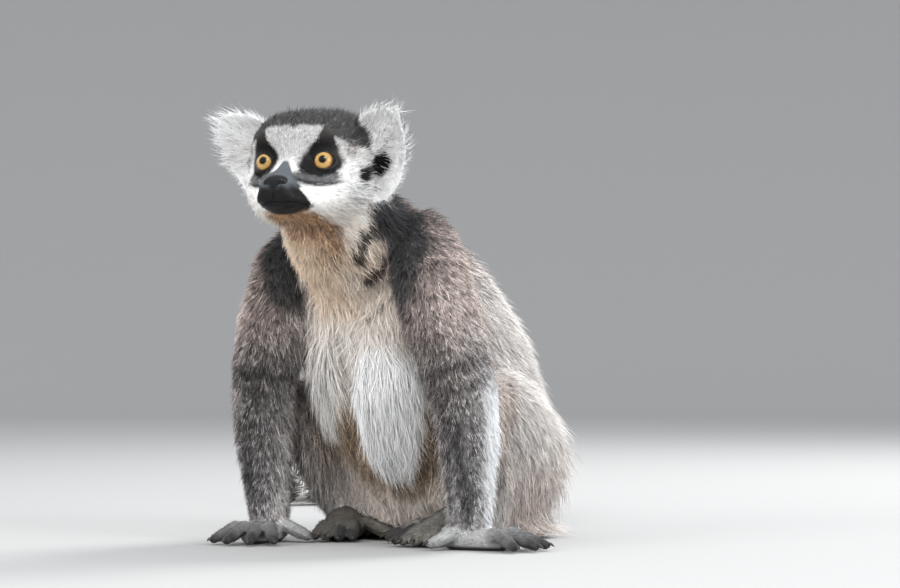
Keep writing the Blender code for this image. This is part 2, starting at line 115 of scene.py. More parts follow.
def edges_of(mesh):
    """The two ends of every edge, as numbers of points."""
    flat = np.empty(len(mesh.edges) * 2, np.int32)
    mesh.edges.foreach_get("vertices", flat)
    return flat.reshape(-1, 2)


def neighbour_mean(values, edges):
    """Each point's mean of the values at the other ends of its edges."""
    near = np.concatenate([edges[:, 0], edges[:, 1]])
    far = np.concatenate([edges[:, 1], edges[:, 0]])
    count = len(values)
    sums = [np.bincount(near, weights=column, minlength=count) for column in values[far].T]
    return np.stack(sums, axis=1) / np.maximum(np.bincount(near, minlength=count), 1)[:, None]


def evened(points, edges, rounds, share=1.0):
    """Evens a surface without shrinking it: each round draws points to their neighbours' mean,
    then pushes them back a little further than they came."""
    for _ in range(rounds):
        for pull in (0.5, -0.52):
            points = points + pull * share * (neighbour_mean(points, edges) - points)
    return points


def smooth_step(low, high, x):
    """0 at low, 1 at high, an S-curve 3tt - 2ttt between; high may be the lower."""
    t = np.clip((x - low) / (high - low), 0, 1)
    return t * t * (3 - 2 * t)


HEAD_CENTRE = np.array([0.003, -0.1855, 0.2452])
HEAD_TURN = np.array(
    Matrix.Rotation(math.radians(6.0), 3, "Z")
    @ Matrix.Rotation(math.radians(-2.0), 3, "X")
    @ Matrix(((0, 1, 0), (-1, 0, 0), (0, 0, 1)))
)


def to_head(points):
    """World places as millimetres forward, left and up from the middle of the head."""
    return (points - HEAD_CENTRE) @ HEAD_TURN / MM


def from_head(places):
    """World places of millimetres forward, left and up: to_head turned round."""
    return HEAD_CENTRE + np.asarray(places, float) * MM @ HEAD_TURN.T


# Each region's solids, and the depth of its coat in millimetres
REGIONS = {
    "head": (("head", "lower_jaw", "eye", "nose"), 3.0),
    "ear": (("ear",), 1.1),
    "neck": (("neck",), 6.0),
    "trunk": (("chest", "loins", "rump"), 7.0),
    "upper_arm": (("upper_arm",), 4.5),
    "forearm": (("forearm",), 3.5),
    "hand": (("hand",), 0.5),
    "thigh": (("thigh",), 6.0),
    "shank": (("shank",), 4.0),
    "foot": (("foot",), 0.6),
    "tail": (("tail",), 6.5),
}
REGION_NAMES = list(REGIONS)
COAT_DEPTH = np.array([depth for _, depth in REGIONS.values()])


def region_of(node):
    """Number of the region whose solids the node is one of, by the start of its name."""
    for k, (stems, _) in enumerate(REGIONS.values()):
        if node.startswith(stems):
            return k
    raise ValueError(node)


def nearest_region(points):
    """The region of the CAD solid whose surface is nearest to each point."""
    corners, faces, owner = [], [], []
    for node in sorted(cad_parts):
        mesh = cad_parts[node].data
        start = len(corners)
        corners += [v.co.copy() for v in mesh.vertices]
        faces += [[start + i for i in face.vertices] for face in mesh.polygons]
        owner += [region_of(node)] * len(mesh.polygons)
    tree = BVHTree.FromPolygons(corners, faces)
    return np.array([owner[tree.find_nearest(p)[2]] for p in points.tolist()])


def region_shares(points, edges, rounds):
    """Share of each region at every point: the nearest one, spread over its neighbours."""
    shares = np.eye(len(REGIONS))[nearest_region(points)]
    for _ in range(rounds):
        shares = 0.5 * shares + 0.5 * neighbour_mean(shares, edges)
    return shares


def coat_depth(points, shares):
    """Depth of the coat in millimetres; the face thins to bare skin at the muzzle."""
    depth = shares @ COAT_DEPTH
    forward = to_head(points)[:, 0]
    thin = 1 - smooth_step(14, 36, forward)
    bare = 0.15 + 0.85 * (1 - smooth_step(36, 50, forward))
    return depth * (1 + shares[:, 0] * ((0.3 + 0.7 * thin) * bare - 1))


# The two lobes of the breast: (x, z) of the line each hangs along, and half widths, top to end
LOBES = {
    1: ((130, 100, 70, 46), (23, 16, 9, 7), (17, 24, 20, 9)),
    -1: ((142, 112, 92, 74), (-29, -35, -38, -41), (14, 17, 13, 7)),
}


def lobe_share(points):
    """1 on the lobes of the breast, 0 off them, soft at the sides."""
    x, y, z = (points / MM).T
    share = np.zeros(len(points))
    for heights, middles, halves in LOBES.values():
        middle = np.interp(-z, -np.array(heights), middles)
        half = np.interp(-z, -np.array(heights), halves)
        within = smooth_step(1.25, 0.75, np.abs(x - middle) / half)
        top, foot = heights[0], heights[-1]
        ends = smooth_step(top + 10, top - 6, z) * smooth_step(foot - 7, foot + 5, z)
        share = np.maximum(share, within * ends)
    return share * smooth_step(-62, -80, y)


hide_form = bmesh.new()
for node in FLESH:
    add_solid(hide_form, node, CLOSE_CUTS)
for node in FILLERS:
    add_solid(hide_form, node, SINK_FILLERS)
hide_mesh = bpy.data.meshes.new("hide")
hide_form.to_mesh(hide_mesh)
hide_form.free()
hide = bpy.data.objects.new("hide", hide_mesh)
bpy.context.scene.collection.objects.link(hide)
gridded = hide.modifiers.new("run_together", "REMESH")
gridded.mode = "VOXEL"
gridded.voxel_size = HIDE_CELL * MM
hide_mesh = applied(hide)
hide_edges = edges_of(hide_mesh)
hide_points = points_of(hide_mesh)
shares = region_shares(hide_points, hide_edges, 6)
fine = shares[:, [REGION_NAMES.index(n) for n in ("head", "ear", "hand", "foot")]].sum(1)
hide_points = evened(hide_points, hide_edges, 10, (1 - 0.6 * fine)[:, None])
write_points(hide_mesh, hide_points)
depth = coat_depth(hide_points, shares)
depth = neighbour_mean(neighbour_mean(depth[:, None], hide_edges), hide_edges)
hide_points = hide_points - (depth - CLOSE_CUTS) * MM * normals_of(hide_mesh)
hide_points = evened(hide_points, hide_edges, 14, (1 - 0.75 * fine)[:, None])
lobe_rise = LOBE_RISE * lobe_share(hide_points)
hide_points = hide_points + lobe_rise[:, None] * MM * normals_of(hide_mesh)
hide_points[:, 2] = np.maximum(hide_points[:, 2], FLOOR_CLEAR)
write_points(hide_mesh, hide_points)

# Fewer, larger faces where long hair hides them
keep = hide.vertex_groups.new(name="coarse")
for level in range(5):
    chosen = np.flatnonzero(np.round(4 * (1 - np.clip(fine - 0.45 * shares[:, 0], 0, 1))) == level)
    keep.add(chosen.tolist(), level / 4, "REPLACE")
fewer = hide.modifiers.new("fewer_faces", "DECIMATE")
fewer.ratio = KEPT_FACES
fewer.vertex_group = "coarse"
fewer.use_collapse_triangulate = True
hide_mesh = applied(hide)
hide.vertex_groups.clear()


# ---- Face --------------------------------------------------------------------
# Short-nosed mask with lids, a fold of skin under each eye, the ridge of the nose, full lips
# and a chin. It is the front of the same hide, with finer faces, modelled by hills and grooves.
FACE_FROM = 22.0            # mm forward of the middle of the head, where the finer faces start
EYE_RADIUS = 8.2            # mm


def hill(place, centre, reach):
    """A bell of height 1 at the centre, given by its reach along each direction."""
    return np.exp(-(((place - np.array(centre)) / np.array(reach)) ** 2).sum(-1))


def both_sides(place):
    """The place with its left-right part turned to the left side."""
    return place * (1, 0, 1) + np.abs(place) * (0, 1, 0)


def subdivide_face(mesh, chosen):
    """Splits the edges whose both ends are chosen, and makes triangles of the pieces."""
    work = bmesh.new()
    work.from_mesh(mesh)
    work.verts.ensure_lookup_table()
    front = chosen(to_head(np.array([v.co for v in work.verts])))
    inside = [e for e in work.edges if front[e.verts[0].index] and front[e.verts[1].index]]
    bmesh.ops.subdivide_edges(work, edges=inside, cuts=1, use_grid_fill=True)
    bmesh.ops.triangulate(work, faces=work.faces)
    work.to_mesh(mesh)
    work.free()


def face_front(places):
    """The front of the head, above the throat."""
    return (places[:, 0] > FACE_FROM) & (places[:, 2] > -40)


def eyes_and_muzzle(places):
    """Within 15 mm of an eye, or far enough forward to be muzzle."""
    q = both_sides(places)
    near_eye = np.linalg.norm(q - (34, 20.4, 0), axis=1) < 15
    return near_eye & (places[:, 0] > FACE_FROM) | (places[:, 0] > 41)


subdivide_face(hide_mesh, face_front)
subdivide_face(hide_mesh, eyes_and_muzzle)
face_points = points_of(hide_mesh)
face_share = smooth_step(FACE_FROM - 4, FACE_FROM + 2, to_head(face_points)[:, 0])[:, None]
face_points = evened(face_points, edges_of(hide_mesh), 8, face_share)

eye_middle = {}
for side, turn in (("left", 1), ("right", -1)):
    low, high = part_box(f"eye_{side}")
    eye_middle[turn] = to_head(np.array((low + high) / 2))
# Way that each orbit opens, and way that each eye looks: forward, left, up
ORBIT_WAY = {1: (0.93, 0.33, 0.10), -1: (0.93, -0.33, 0.10)}
GAZE = {1: (0.96, 0.23, 0.17), -1: (0.97, 0.04, 0.22)}
LID_WIDE, LID_UP, LID_DOWN = 66.0, 47.0, 43.0      # degrees from the middle of the opening


def unit(vectors):
    """The same directions with a length of 1."""
    vectors = np.asarray(vectors, float)
    return vectors / np.maximum(np.linalg.norm(vectors, axis=-1, keepdims=True), 1e-12)


def eye_frame(way):
    """Ahead, outward-level and up directions about a line of sight."""
    ahead = unit(way)
    level = unit(np.cross((0, 0, 1), ahead))
    return np.stack([ahead, level, np.cross(ahead, level)])


def lid_angle(around):
    """Degrees from the middle of the eye's opening to its edge: an ellipse, taller above."""
    height = np.where(np.sin(around) > 0, LID_UP, LID_DOWN)
    return 1 / np.sqrt((np.cos(around) / LID_WIDE) ** 2 + (np.sin(around) / height) ** 2)


def polar_about_eye(places, turn, way):
    """Distance from the eye's middle, degrees off its axis, and angle round the axis."""
    offset = (places - eye_middle[turn]) @ eye_frame(way).T
    away = np.linalg.norm(offset, axis=-1)
    off = np.degrees(np.arccos(np.clip(offset[:, 0] / np.maximum(away, 1e-9), -1, 1)))
    return away, off, np.arctan2(offset[:, 2], offset[:, 1])


def shape_lids(places):
    """Draws the skin behind the eye inside its opening, and lays a lid on the ball round it."""
    for turn in (1, -1):
        away, off, around = polar_about_eye(places, turn, ORBIT_WAY[turn])
        share = off / lid_angle(around)
        lid = EYE_RADIUS + 0.75 - 2.6 * (1 - smooth_step(0.93, 1.04, share))
        hold = smooth_step(1.55, 1.06, share) * smooth_step(21, 16, away)
        target = away + hold * (lid - away)
        places = eye_middle[turn] + unit(places - eye_middle[turn]) * target[:, None]
    return places


MOUTH_LINE = ((36, 44, 50, 56, 62), (-28.6, -27.4, -26.6, -26.0, -25.6))   # forward; up


def shape_face(places, normals):
    """Hills and grooves in millimetres along the normals, then the lids."""
    q = both_sides(places)
    rise = 0.9 * hill(q, (33, 20, 14.5), (8, 9, 2.6))            # brow over the lid
    rise += 1.0 * hill(q, (38, 20, -9.3), (8, 8, 2.2))           # bag under the eye
    fold = -12.6 + 0.022 * (q[:, 1] - 23) ** 2
    rise -= 1.1 * np.exp(-(((q[:, 2] - fold) / 0.9) ** 2)) * hill(q, (38, 22, -12), (9, 9, 7))
    rise -= 2.2 * hill(q, (38, 11.5, 3), (8, 5.5, 8))            # hollow between nose and eye
    rise += 0.7 * hill(q, (46, 0, -3), (9, 3.2, 7))              # ridge of the nose
    rise -= 0.7 * hill(q, (47, 10.5, -9), (8, 2.6, 5))           # dip beside it
    rise += 1.4 * hill(q, (56, 8, -22), (7, 5.5, 5))             # full upper lip
    rise -= 2.4 * hill(q, (54, 16, -17), (8, 5, 5))              # rounded off above
    rise -= 2.0 * hill(q, (52, 15, -31), (10, 5, 4.5))           # narrow chin
    rise -= 0.9 * np.exp(-((q[:, 1] / 0.7) ** 2)) * hill(q, (61, 0, -22), (6, 4, 3.2))
    line = np.interp(q[:, 0], *MOUTH_LINE)
    open_to = smooth_step(38, 43, q[:, 0])
    rise -= 0.9 * np.exp(-(((q[:, 2] - line) / 0.6) ** 2)) * open_to
    rise += 0.25 * np.exp(-(((q[:, 2] - line + 2.6) / 1.5) ** 2)) * open_to
    rise += 1.0 * hill(q, (20, 38, -14), (14, 8, 12))            # cheek
    rise += 1.3 * hill(q, (56, 0, -16.5), (5, 9, 4.5))           # cushion under the nose pad
    rise += 1.2 * hill(q, (51, 0, -9), (5, 6, 4))                # and behind it
    return shape_lids(places + rise[:, None] * normals)


write_points(hide_mesh, face_points)
head_normals = normals_of(hide_mesh) @ HEAD_TURN
face_places = to_head(face_points)
in_front = (face_places[:, 0] > -10) & (face_places[:, 2] > -48) & (np.abs(face_places[:, 1]) < 46)
shaped = shape_face(face_places[in_front], head_normals[in_front])
face_points[in_front] = from_head(shaped)
write_points(hide_mesh, face_points)
hide_mesh.shade_smooth()

hide_points = points_of(hide_mesh)
hide_normals = normals_of(hide_mesh)
hide_edges = edges_of(hide_mesh)
shares = region_shares(hide_points, hide_edges, 8)


# ---- Markings ----------------------------------------------------------------
# White face with black eye patches, dark cap and muzzle; dark shoulders, brown-grey back,
# speckled arms, cream throat, white breast and a tail in black and white rings. The same
# formulas colour the hide and every tuft that stands on it.
WHITE = (0.78, 0.77, 0.75)
SNOW = (0.96, 0.96, 0.955)
CREAM = (0.93, 0.80, 0.68)
# brown under the jaw: partly its own colour, partly painted shade of the fold there
JAW_BROWN_AND_SHADE = (0.42, 0.245, 0.14)
BELLY = (0.37, 0.265, 0.18)
BROWN_GREY = (0.28, 0.225, 0.205)
PALE_GREY = (0.59, 0.56, 0.53)
STEEL = (0.33, 0.33, 0.335)
CHARCOAL = (0.045, 0.044, 0.046)
BLACK = (0.008, 0.0075, 0.008)
SLATE = (0.085, 0.095, 0.105)
PINK_GREY = (0.62, 0.54, 0.52)

TAIL_LINE = np.array([
    (0, 30, 32), (-1, 52, 27), (-5, 84, 20), (-22, 140, 19.5), (-56, 205, 20.5),
    (-104, 270, 21), (-166, 318, 21), (-236, 338, 20.5), (-296, 318, 19), (-330, 276, 14),
]) * MM
TAIL_RINGS = 13.5           # pairs of black and white
WHITE_SHARE = 0.42          # of each black and white pair


def along_line(points, line):
    """Nearest place on a bent line: length from its start in metres, distance and direction."""
    steps = np.diff(line, axis=0)
    lengths = np.linalg.norm(steps, axis=1)
    starts = np.concatenate([[0], np.cumsum(lengths)[:-1]])
    best = np.full(len(points), np.inf)
    reach = np.zeros(len(points))
    way = np.zeros_like(points)
    for start, step, length, before in zip(line, steps, lengths, starts):
        t = np.clip((points - start) @ step / length**2, 0, 1)
        gap = np.linalg.norm(points - start - t[:, None] * step, axis=1)
        closer = gap < best
        best = np.where(closer, gap, best)
        reach = np.where(closer, before + t * length, reach)
        way = np.where(closer[:, None], step / length, way)
    return reach, best, way


TAIL_LENGTH = np.linalg.norm(np.diff(TAIL_LINE, axis=0), axis=1).sum()


def waves(points, size, seed, count=7):
    """Smooth ripple from -1 to 1: a sum of plane waves of one size, in seeded directions."""
    rng = np.random.default_rng(seed)
    ways = unit(rng.normal(size=(count, 3))) * rng.uniform(0.7, 1.5, (count, 1)) / size
    shifts = rng.uniform(0, 2 * np.pi, count)
    return np.sin(2 * np.pi * points @ ways.T + shifts).sum(1) / (0.7 * count)


def paint(colour, over, mask):
    """Moves the colour towards another by the mask, 0 to 1."""
    return colour + (np.asarray(over, float) - colour) * np.clip(mask, 0, 1)[:, None]


def share_of(shares, *names):
    """Sum of the named regions' shares."""
    return shares[:, [REGION_NAMES.index(n) for n in names]].sum(1)


def head_markings(place):
    """Colour of the head: place is forward, left and up in millimetres."""
    f, l, u = place.T
    side = np.abs(l)
    wobble = waves(place, 7.0, 31)
    colour = np.tile(WHITE, (len(place), 1))
    # painted shade: the white is greyer over the front of the face from eye level up
    colour = paint(colour, (0.44, 0.438, 0.432), smooth_step(-4, 8, u) * smooth_step(26, 34, f))
    colour = paint(colour, CREAM, 0.7 * smooth_step(-16, -34, u) * smooth_step(46, 20, f))
    # eye patch with its wedge up to the cap, and the thin grey skin under it, with painted shade along the
    # fold below it
    wide = np.where(side > 20.3, 12.2, 13.0)
    tall = np.where(u > 2, 11.5, 9.5)
    patch = np.hypot((side - 20.3) / wide, (u - 1.5) / tall)
    middle = np.interp(u, (4, 24), (19.0, 25.0))
    wedge = np.abs(side - middle) / np.interp(u, (4, 12, 17, 24), (12, 8.8, 5, 4))
    dark = np.maximum(smooth_step(1.12, 0.84, patch + 0.05 * wobble),
                      smooth_step(1.1, 0.8, wedge) * smooth_step(3, 5, u))
    dark = dark * smooth_step(12, 22, f)
    bag = smooth_step(1.12, 0.75, np.hypot((side - 20.0) / 13.0, (u + 7.5) / 7.0))
    bag = bag * smooth_step(20, 28, f)
    colour = paint(colour, (0.095, 0.093, 0.098), 0.92 * bag)
    # painted shade: a dark line along the fold of skin under each eye
    fold = u + 12.9 - 0.022 * (side - 23) ** 2
    fold = np.exp(-((fold / 1.2) ** 2)) * smooth_step(17, 10, np.abs(side - 22) + 2) * smooth_step(20, 28, f)
    colour = paint(colour, (0.03, 0.028, 0.03), 0.85 * fold)
    colour = paint(colour, BLACK, dark)
    colour = paint(colour, (0.055, 0.048, 0.043), dark * smooth_step(12, 24, u))
    # cap of the crown, down to the nape
    edge = np.interp(side, (0, 4, 19, 24, 30, 36, 42), (24, 26, 25, 20, 17, 14, 9))
    edge = edge - 0.9 * np.clip(2 - f, 0, 60)
    cap = smooth_step(-1.5, 1.5, u + 0.5 * wobble - edge)
    temple = hill(both_sides(place), (24, 36, 13), (10, 6.5, 8)) * (0.8 + 0.3 * waves(place, 2.6, 39))
    colour = paint(colour, (0.20, 0.175, 0.16), 1.15 * temple)
    colour = paint(colour, (0.068, 0.067, 0.065), cap)
    # dark leather of the nose's ridge, black lips and chin
    half = np.interp(-u, (-3, 4, 10, 15, 18), (1.0, 5.5, 11.5, 14.5, 13.0))
    ridge = smooth_step(0.9, -0.9, side - half) * smooth_step(36, 40, f) * smooth_step(3.5, 1.0, u)
    colour = paint(colour, SLATE, ridge * smooth_step(-20, -17, u))
    back_edge = np.interp(u, (-36, -31, -27, -23, -17, -14), (45, 41, 41, 47, 51.5, 53))
    muzzle = smooth_step(-1.2, 1.2, f - back_edge + 0.5 * wobble) * smooth_step(-12, -18, u + 0.8 * wobble)
    colour = paint(colour, BLACK, muzzle)
    # tan chin and throat behind the black lip, partly painted shade under the jaw
    chin = smooth_step(-27, -32, u) * smooth_step(46, 41, f)
    colour = paint(colour, JAW_BROWN_AND_SHADE, chin * smooth_step(24, 15, side + wobble))
    streaks = smooth_step(0.35, 0.8, waves(place * (0.3, 1, 1), 3.0, 35))
    cheek = hill(both_sides(place), (24, 34, -19), (16, 14, 9))
    colour = paint(colour, (0.16, 0.14, 0.125), 0.8 * streaks * cheek)
    return paint(colour, BLACK, ear_patch(place))


def ear_patch(place):
    """Dark hair low in the cup of the ear and on the cheek in front of it."""
    line = np.array([(12.0, 40, -6), (-3.0, 42, 0), (-2.0, 46, 6)])
    away = along_line(both_sides(place), line)[1]
    return smooth_step(6.9, 4.4, away + 0.9 * waves(place, 5.0, 33))


def ear_terms(q):
    """Terms of a curved sheet in side and up: 1, s, u, ss, su, uu."""
    s, u = q[:, 1], q[:, 2]
    return np.stack([s * 0 + 1, s, u, s * s, s * u, u * u], axis=1)


# Sheet midway between the front and back of an ear
in_ears = share_of(shares, "ear") > 0.9
ear_places = both_sides(to_head(hide_points[in_ears]))
EAR_SHEET = np.linalg.lstsq(ear_terms(ear_places), ear_places[:, 0], rcond=None)[0]


def ear_markings(place):
    """White ears: pinkish grey and a few dark streaks within, and a dark tuft low in front."""
    q = both_sides(place)
    colour = np.tile(SNOW, (len(place), 1))
    colour = paint(colour, PINK_GREY, 0.3 * hill(q, (4, 46, 16), (9, 10, 15)))
    streaks = smooth_step(0.5, 0.9, waves(place, 3.2, 37))
    colour = paint(colour, (0.10, 0.095, 0.09), 0.8 * streaks * hill(q, (6, 50, 15), (9, 8, 9)))
    ahead = q[:, 0] - ear_terms(q) @ EAR_SHEET
    return paint(colour, BLACK, ear_patch(place) * smooth_step(-1.4, 0.2, ahead))


def tail_markings(points):
    """Rings: pairs of black and white, closer at the root, ending in black."""
    reach, _, _ = along_line(points, TAIL_LINE)
    share = reach / TAIL_LENGTH
    phase = share * TAIL_RINGS + 0.12 * waves(points, 0.02, 5)
    ring = phase - np.floor(phase)
    soft = 0.07
    white = smooth_step(0, soft, ring) * smooth_step(WHITE_SHARE + soft, WHITE_SHARE, ring)
    white = white * smooth_step(0.985, 0.975, share)
    colour = np.tile((0.022, 0.021, 0.022), (len(points), 1))
    colour = paint(colour, (0.74, 0.72, 0.69), white)
    return paint(colour, PALE_GREY, 0.8 * smooth_step(0.06, 0.0, share))


def body_markings(points, shares):
    """Colour of trunk, neck and limbs from world places."""
    x, y, z = (points / MM).T
    side = np.abs(x + 5)
    wobble = waves(points, 0.02, 41)
    colour = np.tile(BROWN_GREY, (len(points), 1))
    # paler flanks and thighs, warmer behind the arm and low down
    back = smooth_step(-120, -60, y)
    colour = paint(colour, PALE_GREY, 0.95 * back * smooth_step(215, 150, z))
    outer = smooth_step(62, 86, np.abs(x)) * share_of(shares, "upper_arm")
    colour = paint(colour, (0.62, 0.50, 0.445), 0.85 * outer)
    rim = smooth_step(86, 98, np.abs(x) + 2 * wobble) * share_of(shares, "upper_arm")
    colour = paint(colour, (0.60, 0.57, 0.55), 0.7 * rim)
    warm = np.exp(-(((y + 94) / 17) ** 2)) * smooth_step(178, 150, z) * smooth_step(20, 60, z)
    warm = np.maximum(warm, 0.5 * smooth_step(80, 30, z) * smooth_step(40, -30, y))
    colour = paint(colour, (0.62, 0.46, 0.385), 0.95 * warm * share_of(shares, "trunk", "thigh"))
    # front of the trunk: cream breast, thin brown belly, white lobes
    front = smooth_step(-95, -120, y + 0.35 * (z - 130)) * share_of(shares, "trunk", "neck")
    front = front * smooth_step(44, 36, side + 3 * wobble)
    colour = paint(colour, CREAM, front)
    colour = paint(colour, (0.80, 0.755, 0.71), 0.8 * front * smooth_step(168, 138, z))
    colour = paint(colour, (0.84, 0.64, 0.47), front * smooth_step(172, 190, z))
    belly = smooth_step(-70, -84, y) * smooth_step(104, 84, z + 4 * wobble)
    belly = belly * share_of(shares, "trunk") * smooth_step(60, 48, side)
    colour = paint(colour, BELLY, belly)
    lobe = lobe_share(points) * smooth_step(140, 116, z)
    # painted shade: the right lobe is grey where the left one is white
    colour = paint(colour, SNOW, lobe * np.where(x < -15, 0.0, 1.1))
    colour = paint(colour, (0.70, 0.675, 0.65), lobe * (x < -15))
    # painted shade in the gaps between the long white wisps of the lobes
    wisp_gap_shade = smooth_step(0.3, 0.9, waves(points * (1, 1, 0.3), 0.008, 51))
    colour = paint(colour, (0.30, 0.29, 0.29), 0.35 * lobe * wisp_gap_shade)
    # painted shade in the armpits, between the breast and the arms
    armpit_shade = np.exp(-(((side - 40) / 9) ** 2 + ((z - 133) / 9) ** 2)) * smooth_step(-118, -128, y)
    colour = paint(colour, (0.66, 0.56, 0.51), 0.8 * armpit_shade)
    # dark shoulders beside the neck, meeting on the nape
    off = np.abs(x - 1.5) + 1.5 * wobble
    last = np.interp(z, (150, 200), (52, 66))
    off = off + 11 * smooth_step(195, 210, z) * smooth_step(-178, -168, y)
    band = smooth_step(35, 41, off) * smooth_step(last + 6, last - 8, off) * smooth_step(142, 168, z)
    band = band * smooth_step(-122, -138, y)
    nape = smooth_step(200, 218, z) * smooth_step(-168, -156, y)
    return paint(colour, CHARCOAL, 1.3 * np.maximum(band, 0.4 * nape * (1 - front)))


def arm_markings(points, shares, colour):
    """Speckled forearms, dark down the front, with painted shade in the folds at the elbow and a white
    painted highlight on the outer edge.
    """
    x, y, z = (points / MM).T
    side = np.abs(x)
    forearm = share_of(shares, "forearm")
    wobble = waves(points, 0.015, 43)
    colour = paint(colour, STEEL, forearm)
    middle = np.interp(z, (20, 60, 110), (87, 82, 72))
    stripe = np.exp(-(((side - middle) / 8) ** 2)) * smooth_step(-128, -136, y)
    patchy = 0.9 + 0.3 * waves(points, 0.008, 49)
    colour = paint(colour, (0.03, 0.03, 0.03), 1.3 * stripe * forearm * patchy)
    elbow = share_of(shares, "upper_arm") * smooth_step(146, 116, z)
    colour = paint(colour, (0.17, 0.162, 0.16), 0.85 * elbow)
    # painted shade in two folds across the arm at the elbow
    level = z - 0.25 * (side - 78) + 2.5 * waves(points, 0.012, 47)
    fold_shade = np.exp(-(((level - 116) / 3.2) ** 2)) + 0.8 * np.exp(-(((level - 103) / 2.6) ** 2))
    fold_shade = fold_shade * smooth_step(-131, -138, y) * share_of(shares, "forearm", "upper_arm")
    colour = paint(colour, (0.02, 0.02, 0.02), 0.85 * fold_shade)
    clumps = smooth_step(-0.5, 0.6, waves(points * (1, 1, 0.7), 0.0042, 53)) - 0.5
    clumps = clumps * share_of(shares, "forearm", "upper_arm")
    clumps = clumps * (0.3 + 0.7 * smooth_step(140, 105, z)) * (0.4 + 0.6 * smooth_step(-110, -128, y))
    colour = colour * (1 + 1.25 * clumps)[:, None]
    # painted highlight, as of light from behind, on the outer edge of the forearms: full on the left arm,
    # faint on the right
    edge = smooth_step(9, 15, (side - 80) + 0.6 * (y + 124) + 1.5 * wobble) * smooth_step(124, 84, z)
    edge = edge * smooth_step(-108, -117, y) * np.where(x > 0, 1.0, 0.3)
    edge = edge * share_of(shares, "forearm", "upper_arm")
    colour = paint(colour, (0.87, 0.88, 0.89), edge)
    inner = smooth_step(-8, -14, side - 79) * smooth_step(-132, -124, y) * forearm
    return paint(colour, (0.62, 0.58, 0.54), inner)


WRISTS = {1: (0.0785, -0.122), -1: (-0.0785, -0.122)}
ANKLES = {1: (0.047, -0.062), -1: (-0.056, -0.046)}


def paw_reach(points, starts):
    """Millimetres out from the wrist or ankle of the same side, over the floor."""
    starts = np.where(points[:, :1] > 0, starts[1], starts[-1])
    return np.linalg.norm(points[:, :2] - starts, axis=1) / MM


def digit_ends(points):
    """1 on the bare last joints of fingers and toes."""
    hand = smooth_step(42, 50, paw_reach(points, WRISTS)) * (points[:, 1] < -0.1)
    return np.where(points[:, 1] < -0.1, hand, smooth_step(58, 66, paw_reach(points, ANKLES)))


def paw_markings(points, shares, colour):
    """Grey hands and browner feet darkened by painted shade, the right foot most; dark fingers, black soles
    and ends.
    """
    z = points[:, 2] / MM
    paws = share_of(shares, "hand", "foot")
    grey = np.tile((0.40, 0.40, 0.395), (len(points), 1))
    feet = share_of(shares, "foot")
    # painted shade: the feet darker than the hands, and the right foot darker still
    grey = paint(grey, (0.21, 0.20, 0.18), feet)
    grey = paint(grey, (0.12, 0.11, 0.095), 0.8 * feet * (points[:, 0] < 0))
    fingers = smooth_step(20, 40, paw_reach(points, WRISTS)) * share_of(shares, "hand")
    grey = paint(grey, (0.14, 0.138, 0.136), 0.9 * fingers)
    grey = paint(grey, (0.035, 0.034, 0.034), np.maximum(smooth_step(3.6, 1.6, z), digit_ends(points)))
    return colour + (grey - colour) * smooth_step(0.3, 0.7, paws)[:, None]


# Lines over the breast where the coat parts, in x and z, painted dark as underfur and painted shade in the
# gaps
PARTINGS = (
    (2.3, np.array([(37.0, 0, 210), (31, 0, 202), (24.5, 0, 186)])),
    (2.0, np.array([(39.0, 0, 190), (31, 0, 182), (20.5, 0, 174)])),
    (1.2, np.array([(32.0, 0, 164), (22, 0, 155), (11, 0, 148)])),
)


def breast_markings(points, colour):
    """Brown under the jaw, partly painted shade of its fold; tan down the middle of the breast, partly
    painted shade; and its dark partings, underfur with painted shade.
    """
    x, y, z = (points / MM).T
    wobble = waves(points, 0.012, 45)
    front = smooth_step(-128, -145, y) * smooth_step(214, 208, z) * smooth_step(34, 27, np.abs(x - 2))
    # partly painted shade: the breast goes tan on its right side
    tan = front * smooth_step(140, 160, z) * smooth_step(22, -4, x + 3 * wobble)
    colour = paint(colour, (0.80, 0.60, 0.44), 0.8 * tan)
    # partly painted shade: the brown band in the fold under the jaw
    brown = front * smooth_step(197, 206, z + 2 * wobble) * smooth_step(24, 10, np.abs(x + 3) + 2 * wobble)
    streaks = 0.8 + 0.3 * waves(points * (1, 1, 0.4), 0.004, 57)
    colour = paint(colour, JAW_BROWN_AND_SHADE, brown * streaks)
    ragged = waves(points, 0.005, 46)
    for half, line in PARTINGS:
        away = along_line(points * (1, 0, 1) / MM, line)[1]
        # dark underfur and painted shade in the partings of the coat
        parting_shade = smooth_step(1.5, 0.6, (away + 0.9 * ragged) / half) * smooth_step(-132, -142, y)
        colour = paint(colour, (0.02, 0.015, 0.012), 0.95 * parting_shade * smooth_step(216, 211, z))
    return colour


def coat_colour(points, shares):
    """Colour of the coat at each place on the hide."""
    place = to_head(points)
    colour = body_markings(points, shares)
    colour = arm_markings(points, shares, colour)
    colour = paw_markings(points, shares, colour)
    for names, other in (
        (("head",), head_markings(place)),
        (("ear",), ear_markings(place)),
        (("tail",), tail_markings(points)),
    ):
        blend = smooth_step(0.25, 0.75, share_of(shares, *names))
        colour = colour + (other - colour) * blend[:, None]
    return breast_markings(points, colour)


